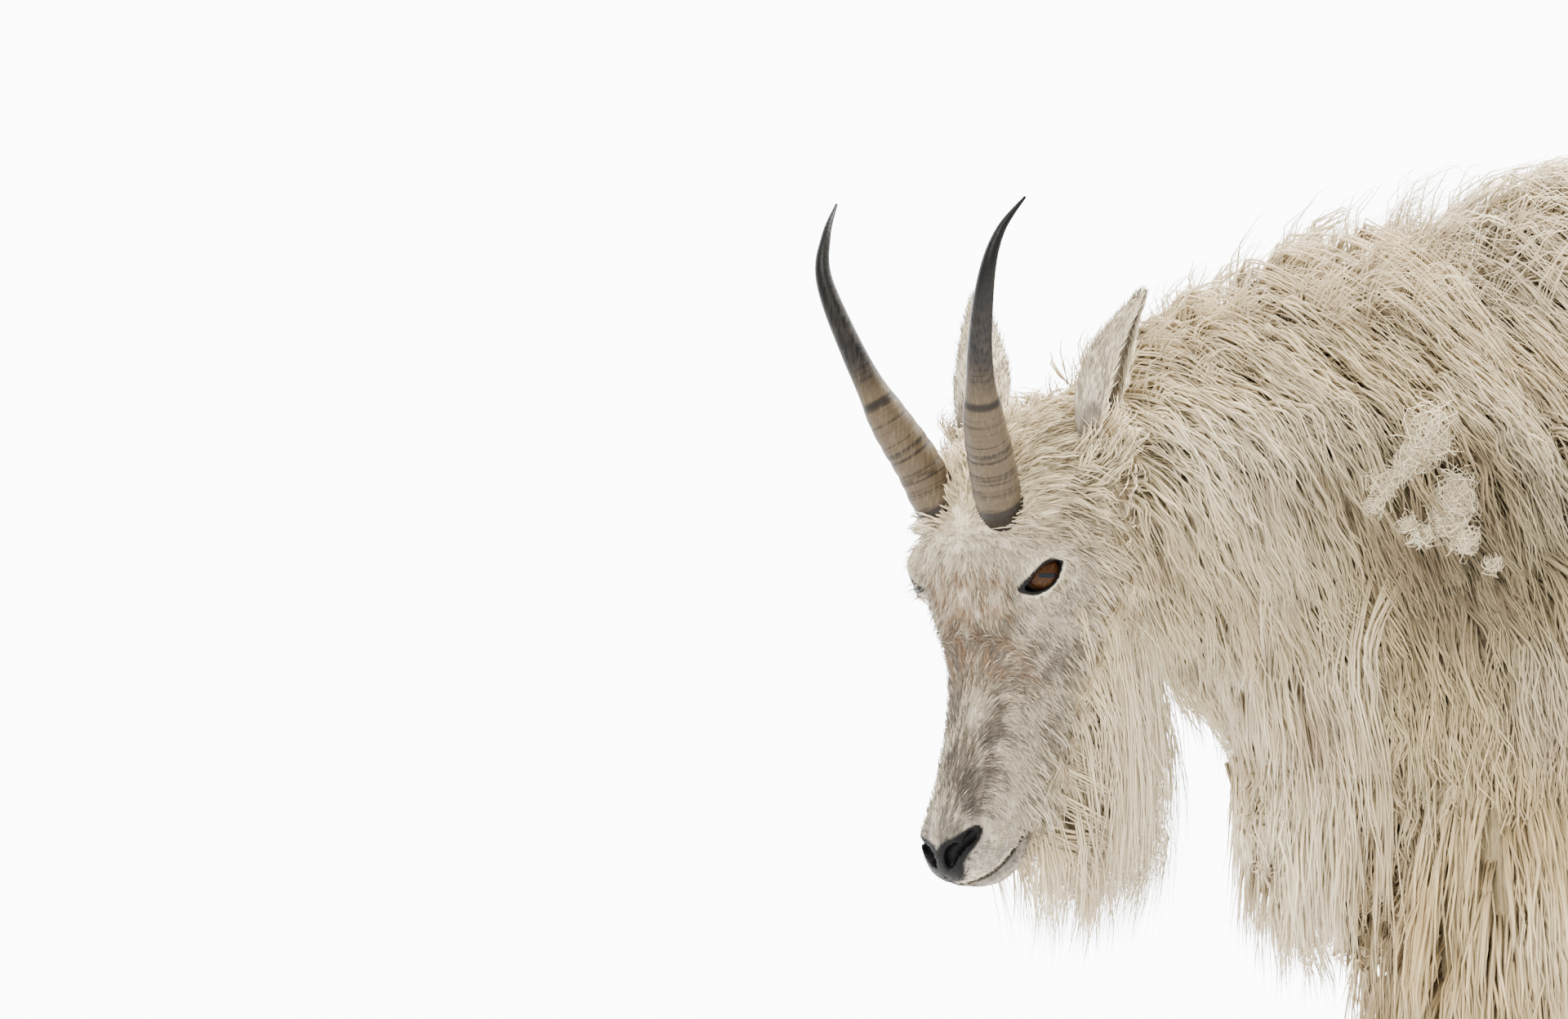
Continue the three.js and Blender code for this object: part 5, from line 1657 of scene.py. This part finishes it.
class GOAT_OT_beard(GoatPiece):
    """Grows the beard from the jaw and the throat"""

    bl_idname = "goat.beard"
    bl_label = "Beard"

    def build(self, looks):
        draw = np.random.default_rng(17)
        at, normal = spread_roots(Goat.head, 350, draw, self.weigh)
        rings = 6
        root, out = from_head(at), normal @ HEAD_TURN.T
        n = len(root)
        yaw = math.radians(HEAD_YAW)
        ahead = np.array([-math.cos(yaw), -math.sin(yaw), 0])
        left = np.array([math.sin(yaw), -math.cos(yaw), 0])
        up = np.array([0, 0, 1.0])
        local = root - HEAD_AT
        fore, aside, top = ((local @ way)[:, None] for way in (ahead, left, up))
        fullness = draw.uniform(0, 1, n)[:, None] ** 0.8
        longest = np.interp(-at[:, 2], [15, 40, 62, 80], [34, 70, 150, 260])
        longest = (longest * draw.uniform(0.75, 1.1, n))[:, None]
        end = np.maximum(BEARD_END + draw.uniform(0, 1, n)[:, None] ** 1.5 * 56, top - longest)
        end = np.minimum(end, top - 30)
        t = np.linspace(0, 1, rings)[None]
        high = top + (end - top) * t ** 1.25
        back = np.interp(high, *BEARD_BACK) + BEARD_MIDDLE
        back = back * np.sqrt(np.clip(1 - (aside / BEARD_HALF_WIDTH) ** 2, 0.02, 1)) - BEARD_MIDDLE
        reach = np.minimum(back, fore - 12) - fore
        place = fore + reach * fullness * ease(t / 0.65 + 0.04)
        lean = 0.8 * rise(at[:, 2], -84, 40)[:, None]
        place = np.minimum(place, fore - lean * (top - high) * (1 - 0.4 * t))
        place = np.maximum(place, -BEARD_LIMIT)
        side = aside * (1 + 0.15 * np.sin(t * 2.6)) * (1 - 0.3 * t)
        centre = HEAD_AT + ahead * place[..., None] + left * side[..., None] + up * high[..., None]
        centre[:, 0] = root - out * 1.5
        core = HEAD_AT + ahead * -100.0 + up * high[..., None]
        outer = unit(centre - core + left * 0.01)
        path, up, own = as_clumps(centre, outer, 12, draw, spread=8.5, gather=0.5, wave=2.2,
                                  curls=1.2, frizz=0.04)

        # Half pale: painted glow of the backlit beard.
        def tinted(path):
            return mixed(body_tint(path[:, 0], looks), looks.coat_white, np.full(len(path), 0.5))

        made = hair("coat_beard", path, up, 1.35, tinted, 0.8, head_unwrap(at)[own], draw, own, n)
        dress(made, "face_coat", coat_finish("Beard hair", 0.6))

    def weigh(self, at, normal):
        ahead = -at[:, 0]
        low = ease((-at[:, 2] - 16 - 26 * rise(ahead, 90, 50)) / 46)
        chin = 1 + 1.8 * rise(ahead, 95, 35)
        return low * chin * ease((-normal[:, 2] + 0.6) / 0.7) * (ahead < 172) * (ahead > -112)


def face_tinted(looks, draw):
    """The tint of each tuft of the face, from its root."""
    return lambda path: head_tint(path[:, 0], looks, draw)[0]


class GOAT_OT_face_fur(GoatPiece):
    """Grows the short fur of the face and the longer fur of the cheeks and the crown"""

    bl_idname = "goat.face_fur"
    bl_label = "Face fur"

    def build(self, looks):
        draw = np.random.default_rng(27)
        fur = coat_finish("Face fur", 0.7)
        for name, side in SIDES.items():
            dress(self.short("coat_face_" + name, side, draw, looks), "face_coat", fur)
        dress(self.locks("coat_cheeks", draw, looks), "face_coat", fur)

    def short(self, name, side, draw, looks):
        """Short fur on one side, densest round the eye and left out where the skin is bare."""

        def weigh(p, _):
            eye = near(into_eye(p, side), [0, 0, 8], [34, 26, 26])
            return (p[:, 1] * side > 0) * off_bare(p) * (0.6 + 0.8 * ease(-p[:, 0] / 60) + 1.6 * eye)

        count, rings = 13000 if side < 0 else 8600, 3
        at, normal = spread_roots(Goat.head, count, draw, weigh)
        way = strayed_flow(at, normal, 0.2, draw)
        size = np.minimum(face_length(at), 17) * draw.uniform(0.65, 1.3, count)
        lift = draw.uniform(0.14, 0.34, count)[:, None, None]
        path = bowed(at, normal, way, size, rings, lift, 2.0, 0.5)
        keep = clear_of_eyes(path)
        path, normal, size, at = (a[keep] for a in (path, normal, size, at))
        return hair(name, to_each(from_head, path), on_rings(normal @ HEAD_TURN.T, rings), 0.62,
                    face_tinted(looks, draw), 0.62, head_unwrap(at), draw,
                    stout=(0.8 + size / 20)[:, None])

    def locks(self, name, draw, looks):
        """Locks where the face's fur is long: the cheeks, the crown and round the ears."""

        def weigh(p, _):
            return (ease((face_length(p) - 14) / 8) + 1e-6) * (1 + 2.5 * by_ear(p))

        count, rings = 600, 5
        at, normal = spread_roots(Goat.head, count, draw, weigh)
        way = strayed_flow(at, normal, 0.16, draw)
        size = face_length(at) * draw.uniform(0.8, 1.25, count)
        lift = (0.3 + 0.5 * by_ear(at))[:, None, None]
        centre = to_each(from_head, bowed(at, normal, way, size, rings, lift, 2.3, 1.0))
        centre[..., 2] -= (size * 0.25)[:, None] * np.linspace(0, 1, rings) ** 2
        outer = on_rings(normal @ HEAD_TURN.T, rings)
        path, up, own = as_clumps(centre, outer, 7, draw, spread=7.0, gather=0.45, wave=2.0,
                                  curls=1.2, frizz=0.06)
        keep = clear_of_eyes(to_each(into_head, path))
        path, up, own = path[keep], up[keep], own[keep]
        return hair(name, path, up, 1.4, face_tinted(looks, draw), 0.62, head_unwrap(at)[own], draw,
                    own, count)


class GOAT_OT_ear_fur(GoatPiece):
    """Grows short fur outside the ears and long hair along their rims"""

    bl_idname = "goat.ear_fur"
    bl_label = "Ear fur"

    def build(self, looks):
        draw = np.random.default_rng(37)
        fur = coat_finish("Ear fur", 0.7)
        for name, side in SIDES.items():
            dress(self.both("coat_ear_" + name, side, draw, looks), "ear_coat", fur)

    def both(self, name, side, draw, looks):
        """The fur outside one ear and the longer hair along its rim."""
        axis, opening, cross = ear_axes()
        n, rings = 2500, 3
        rim = np.arange(n) < 900
        s = draw.uniform(0.04, 0.97, n)
        turn = draw.uniform(EAR_OPEN, 2 * math.pi - EAR_OPEN, n)
        edge = np.where(draw.uniform(0, 1, n) < 0.5, EAR_OPEN, 2 * math.pi - EAR_OPEN)
        turn = np.where(rim, edge, turn)
        root = ear_points(s, turn, 1.0)
        normal = unit(opening * np.cos(turn)[:, None] + cross * np.sin(turn)[:, None])
        flow = np.where(rim[:, None], axis * 0.8 - normal * 0.3, axis)
        flow = unit(flow + draw.normal(0, 0.16, (n, 3)))
        size = np.where(rim, 15, 10) * draw.uniform(0.6, 1.2, n) * np.minimum(1, 1.6 - s)
        t = np.linspace(0, 1, rings)[None, :, None]
        reach = size[:, None, None]
        path = root[:, None] + flow[:, None] * reach * t + normal[:, None] * (reach * 0.14 * t)
        path = to_each(from_head, mirrored(path, side))
        outer = on_rings(unit(mirrored(normal, side) @ HEAD_TURN.T), rings)
        uv = np.stack([(0.8 if side < 0 else 0.85) + 0.05 * s, 0.75 + 0.2 * turn / (2 * math.pi)], 1)

        def tinted(path):
            return np.where(rim[:, None], np.array(looks.coat_white), 0.82 * ear_tint(path[:, 0], looks))

        return hair(name, path, outer, 0.85, tinted, 0.8, uv, draw)


def horn_tree():
    """Geometry nodes: a ridged horn swept along its middle line."""
    tree = bpy.data.node_groups.new("Ridged horn", "GeometryNodeTree")
    socket = tree.interface.new_socket
    socket("Geometry", in_out="INPUT", socket_type="NodeSocketGeometry")
    for name, kind, value in [("Radius", "Float", 0.016), ("Ridge", "Float", 0.035),
                              ("Ridges", "Float", 9.0), ("Ridged share", "Float", 0.5),
                              ("Rings", "Int", 260), ("Sides", "Int", 40)]:
        made = socket(name, in_out="INPUT", socket_type="NodeSocket" + kind)
        made.default_value = value
    socket("Material", in_out="INPUT", socket_type="NodeSocketMaterial")
    socket("Geometry", in_out="OUTPUT", socket_type="NodeSocketGeometry")
    made = Nodes(tree)
    inputs = tree.nodes.new("NodeGroupInput").outputs
    given = {socket.name: Shade(made, socket) for socket in inputs}
    result = tree.nodes.new("NodeGroupOutput")
    spaced = made.node("GeometryNodeResampleCurve", Curve=given["Geometry"], Count=given["Rings"])
    place = made.node("GeometryNodeSplineParameter")
    share = made.node("ShaderNodeFloatCurve", Value=place)
    mapping = share.socket.node.mapping
    points = mapping.curves[0].points
    last = len(HORN_SHARES) - 1
    points[0].location = (0, HORN_SHARES[0])
    points[-1].location = (1, HORN_SHARES[-1])
    for k in range(1, last):
        points.new(k / last, HORN_SHARES[k])
    mapping.update()
    wave = abs(made.math("SINE", place ** 0.86 * given["Ridges"] * (2 * math.pi)))
    fade = made.step(place, given["Ridged share"], 0.2)
    radius = share * (wave * given["Ridge"] * fade + 0.97) * given["Radius"]
    named = made.node("GeometryNodeStoreNamedAttribute", {"data_type": "FLOAT", "domain": "POINT"},
                      Geometry=spaced, Name="Along", Value=place)
    ring = made.node("GeometryNodeCurvePrimitiveCircle", Resolution=given["Sides"], Radius=1.0)
    swept = made.node("GeometryNodeCurveToMesh", Curve=named, Profile_Curve=ring, Scale=radius,
                      Fill_Caps=True)
    soft = made.node("GeometryNodeSetShadeSmooth", Geometry=swept, Shade_Smooth=True)
    real = made.node("GeometryNodeRealizeInstances", Geometry=soft)
    done = made.node("GeometryNodeSetMaterial", Geometry=real, Material=given["Material"])
    made.feed(result.inputs[0], done)
    return tree


def set_input(change, tree, name, value):
    """Sets a modifier's input by its socket's identifier."""
    found = next(item for item in tree.interface.items_tree
                 if item.item_type == "SOCKET" and item.in_out == "INPUT" and item.name == name)
    change[found.identifier] = value


def horn_finish(looks):
    """Tan and finely lined at the base, grey-brown above the last ring, then black."""
    made = Finish("Horn", Roughness=0.45, Specular_IOR_Level=0.12)
    place = made.attribute("Along", "Fac")
    grain = made.noise(made.mapped(made.place(), scale=(500, 500, 50)), 1.0, 4.0)
    patch = made.noise(made.place(), 45.0, 3.0)
    lined = made.node("ShaderNodeCombineXYZ", X=place * 90.0, Y=patch * 0.8, Z=0.0)
    line = made.noise(lined, 1.0, 3.0)
    dark = made.mix(0.75, looks.horn_base, looks.horn)
    tan = made.mix(made.step(line, 0.5, 0.36), looks.horn_base, dark)
    tan = made.mix(made.step(grain, 0.45, 0.75) * 0.5, tan, (0.105, 0.080, 0.048))
    ring = made.step(abs(place - 0.385), 0.016, 0.005) + made.step(place, 0.074, 0.062)
    tan = made.mix(made.clamp(ring * 0.85), tan, looks.horn)
    grey = made.mix(made.step(grain, 0.35, 0.7), looks.horn, (0.022, 0.018, 0.015))
    edge = place + patch * 0.05
    base = made.mix(made.step(edge, 0.40, 0.56), tan, grey)
    made.set(Base_Color=made.mix(made.step(edge, 0.56, 0.82), base, looks.horn))
    made.set(Roughness=0.32 + grain * 0.3)
    made.bump(grain + line * 0.8, 0.5, 0.0005)
    return made.material


class GOAT_OT_horns(GoatPiece):
    """Sweeps the two ridged horns"""

    bl_idname = "goat.horns"
    bl_label = "Horns"

    def build(self, looks):
        tree = horn_tree()
        material = horn_finish(looks)
        for name, side in SIDES.items():
            line = along(HORN_LINE, np.linspace(0, 1, 60))
            points = to_world(from_head(mirrored(line, side)))
            curve = bpy.data.curves.new("horn_line", "CURVE")
            curve.dimensions = "3D"
            spline = curve.splines.new("POLY")
            spline.points.add(len(points) - 1)
            for point, co in zip(spline.points, points):
                point.co = (*co, 1)
            source = linked("horn_line", curve)
            change = source.modifiers.new("Horn", "NODES")
            change.node_group = tree
            set_input(change, tree, "Material", material)
            mesh = plain_mesh(source)
            bpy.data.objects.remove(source)
            dress(linked("horn_" + name + "_ridged", mesh), "horn", material, "horn_" + name)


def eye_finish(looks):
    made = Finish("Eye", Roughness=0.3, Coat_Weight=0.12, Coat_Roughness=0.03, Specular_IOR_Level=0.0)
    across, high, _ = made.parts(made.attribute("Gaze", "Vector"))
    away = made.math("SQRT", across * across + high * high)
    flat = made.node("ShaderNodeCombineXYZ", X=across, Y=high, Z=0.0)
    way = made.node("ShaderNodeVectorMath", {"operation": "NORMALIZE"}, _0=flat)
    spoke = made.noise(made.mapped(way, scale=(9, 9, 9)), 1.6, 4.0, 0.5)
    deep = made.mix(1.0, looks.iris, (0.35, 0.3, 0.3), "MULTIPLY")
    warm = made.mix(made.step(spoke, 0.35, 0.65), deep, looks.iris)
    warm = made.mix(made.step(away, 0.5, 0.78), warm, deep)
    long = abs(across) / 0.40
    tall = abs(high) / 0.11
    pupil = 1 - made.step(long ** 4.0 + tall ** 4.0, 0.8, 1.15)
    dark = made.mix(pupil, warm, (0.003, 0.004, 0.006))
    rim = made.step(away, 0.76, 0.84)
    made.set(Base_Color=made.mix(rim, dark, (0.02, 0.014, 0.011)))
    return made.material


class GOAT_OT_eyes(GoatPiece):
    """Builds the eyeballs with their long level pupils"""

    bl_idname = "goat.eyes"
    bl_label = "Eyes"

    def build(self, looks):
        material = eye_finish(looks)
        points, faces = tube(ball(40, 64))
        bulge = 1 + 0.035 * rise(points[:, 2], 0.72, 0.28)
        for name, side in SIDES.items():
            shape = from_eye(points * bulge[:, None] * EYE_RADIUS * 0.985, side)
            out, turned = outward(from_head(shape), faces)
            made = object_of("eye_" + name + "_ball", out, turned)
            look = unit(mirrored(EYE_AXES[2], side) @ HEAD_TURN.T)
            level = unit(np.cross([0, 0, 1.0], look))
            over = np.cross(look, level)
            middle = from_head(mirrored(EYE_AT, side))
            local = (out - middle) / EYE_RADIUS
            write(made.data, "Gaze", local @ np.stack([level, over, look], 1))
            dress(made, "eye", material, "eye_" + name)


def hoof_finish(looks):
    made = Finish("Hoof", Roughness=0.5, Specular_IOR_Level=0.15)
    z = made.parts(made.place())[2]
    wobble = made.noise(made.place(), 60.0, 2.0)
    rings = made.math("SINE", (z + wobble * 0.006) * 1500.0)
    grain = made.noise(made.mapped(made.place(), scale=(500, 500, 40)), 1.0, 4.0)
    pale = made.mix(1.0, looks.hoof, (3.2, 3.0, 2.7), "MULTIPLY")
    made.set(Base_Color=made.mix(made.clamp(grain * 0.5 + rings * 0.15), looks.hoof, pale))
    made.set(Roughness=0.4 + grain * 0.35)
    made.bump(rings * 0.5 + grain, 0.5, 0.0006)
    return made.material


# The toe's sections: back, height, length in front and behind, and half-width
TOE = [(-12, 0, 38, 36, 15), (-12, 10, 37, 36, 15), (-10, 24, 30, 34, 14.4),
       (-8, 38, 23, 31, 13.6), (-7, 46, 19, 28, 12.6)]


def toe_form(x, y, side):
    """One half of a hoof, on the given side of the foot's middle."""
    sections = []
    for back, z, long, heel, width in TOE:
        size = [long, heel, width * 0.72, width, width * 0.95]
        at = [x + back, y + side * (width + 4 - 0.03 * z), z]
        sections.append((at, (side * -3, 90), size, size))
    return Form(sections, (0, 0, 1, 1))


class GOAT_OT_hooves(GoatPiece):
    """Builds the toes and dewclaws of the four feet"""

    bl_idname = "goat.hooves"
    bl_label = "Hooves"

    def build(self, looks):
        material = hoof_finish(looks)
        for name, (x, y, claw) in LEGS.items():
            for which, side in {"outer": np.sign(y), "inner": -np.sign(y)}.items():
                points, faces = outward(*shell(toe_form(x - 6, y, side), 1, 40, 48))
                made = object_of(f"toe_{name}_{which}", points, faces)
                dress(made, "hoof", material, f"hoof_{name}_{which}")
                made = object_of(f"claw_{name}_{which}", *self.claw(x + claw, y + side * 15))
                dress(made, "hoof", material, f"dewclaw_{name}_{which}")

    def claw(self, x, y):
        """A small blunt horn cone that points down and back."""
        t = np.linspace(0, 1, 14)
        radius = 9 * np.sqrt(np.clip(1 - t ** 1.6, 0.01, 1))
        turn = circle(20)
        ring = np.stack([np.cos(turn), np.sin(turn), 0 * turn], 1)
        points = ring[None] * radius[:, None, None]
        points = points + np.array([0, 0, 1.0]) * (12 - 24 * t)[:, None, None]
        points = points * [1, 0.75, 1]
        lean = turning("y", math.radians(-32))
        points, faces = tube(points @ lean.T + [x, y, 84])
        return outward(points, faces)


class GOAT_OT_stage(GoatPiece):
    """Sets the pale floor, the soft lights and the camera"""

    bl_idname = "goat.stage"
    bl_label = "Stage"

    def build(self, looks):
        self.floor(looks)
        world = bpy.data.worlds.new("studio")
        bpy.context.scene.world = world
        world.use_nodes = True
        sky = world.node_tree.nodes["Background"]
        sky.inputs["Color"].default_value = SKY
        made = Nodes(world.node_tree)
        behind = (math.sin(CAMERA_TURN), math.cos(CAMERA_TURN), 0.25)
        facing = made.node("ShaderNodeVectorMath", {"operation": "DOT_PRODUCT"}, output=1,
                           _0=made.node("ShaderNodeTexCoord"), _1=behind)
        made.feed(sky.inputs["Strength"], made.step(facing, 0.1, 0.95, *SKY_POWER))
        for name, (at, size, power) in LAMPS.items():
            self.lamp(name, at, size, power)
        self.camera()

    def floor(self, looks):
        turn = circle(FLOOR_SIDES)
        disc = np.stack([np.cos(turn), np.sin(turn), 0 * turn], 1) * FLOOR_RADIUS
        mesh = bpy.data.meshes.new("floor")
        mesh.from_pydata([tuple(p) for p in disc], [], [tuple(range(FLOOR_SIDES))])
        floor = linked("floor", mesh)
        made = Finish("Floor", Roughness=0.85)
        speck = made.noise(made.place(), 30.0, 3.0)
        darker = made.mix(1.0, looks.floor, (0.94, 0.94, 0.94), "MULTIPLY")
        made.set(Base_Color=made.mix(speck, darker, looks.floor))
        mesh.materials.append(made.material)

    def lamp(self, name, at, size, power):
        light = bpy.data.lights.new(name, "AREA")
        light.shape = "DISK"
        light.size = size
        light.energy = power
        light.color = LAMP_TONE
        self.placed(linked(name, light), Vector(at), LAMP_AIM - Vector(at))

    def camera(self):
        """At the photo's angle: level, a little from the front of the goat's left side."""
        right = np.array([math.cos(CAMERA_TURN), -math.sin(CAMERA_TURN), 0])
        into = np.array([math.sin(CAMERA_TURN), math.cos(CAMERA_TURN), 0])
        across, high, depth = CAMERA_AT
        data = bpy.data.cameras.new("camera")
        data.lens = CAMERA_LENS
        data.sensor_width = SENSOR_WIDTH
        data.clip_end = 100
        made = linked("camera", data)
        self.placed(made, to_world(right * across + into * depth + [0, 0, high]), Vector(into))
        bpy.context.scene.camera = made

    def placed(self, made, at, aim):
        """Puts a lamp or the camera at a place, looking along aim."""
        made.location = at
        made.rotation_mode = "QUATERNION"
        made.rotation_quaternion = aim.to_track_quat("-Z", "Y")


PIECES = (GOAT_OT_stage, GOAT_OT_skin, GOAT_OT_horns, GOAT_OT_eyes, GOAT_OT_hooves,
          GOAT_OT_body_coat, GOAT_OT_beard, GOAT_OT_face_fur, GOAT_OT_ear_fur)


class GOAT_PT_panel(bpy.types.Panel):
    """Lists the goat's pieces and its looks"""

    bl_label = "Mountain goat"
    bl_idname = "GOAT_PT_panel"
    bl_space_type = "VIEW_3D"
    bl_region_type = "UI"
    bl_category = "Goat"

    def draw(self, context):
        looks = context.scene.goat_looks
        for piece in PIECES:
            self.layout.operator(piece.bl_idname)
        for name in GoatLooks.__annotations__:
            self.layout.prop(looks, name)


CLASSES = (GoatLooks, *PIECES, GOAT_PT_panel)


def register():
    for made in CLASSES:
        bpy.utils.register_class(made)
    bpy.types.Scene.goat_looks = bpy.props.PointerProperty(type=GoatLooks)


def unregister():
    del bpy.types.Scene.goat_looks
    for made in reversed(CLASSES):
        bpy.utils.unregister_class(made)


def main():
    register()
    for piece in PIECES:
        group, name = piece.bl_idname.split(".")
        getattr(getattr(bpy.ops, group), name)()


if __name__ == "__main__":
    main()
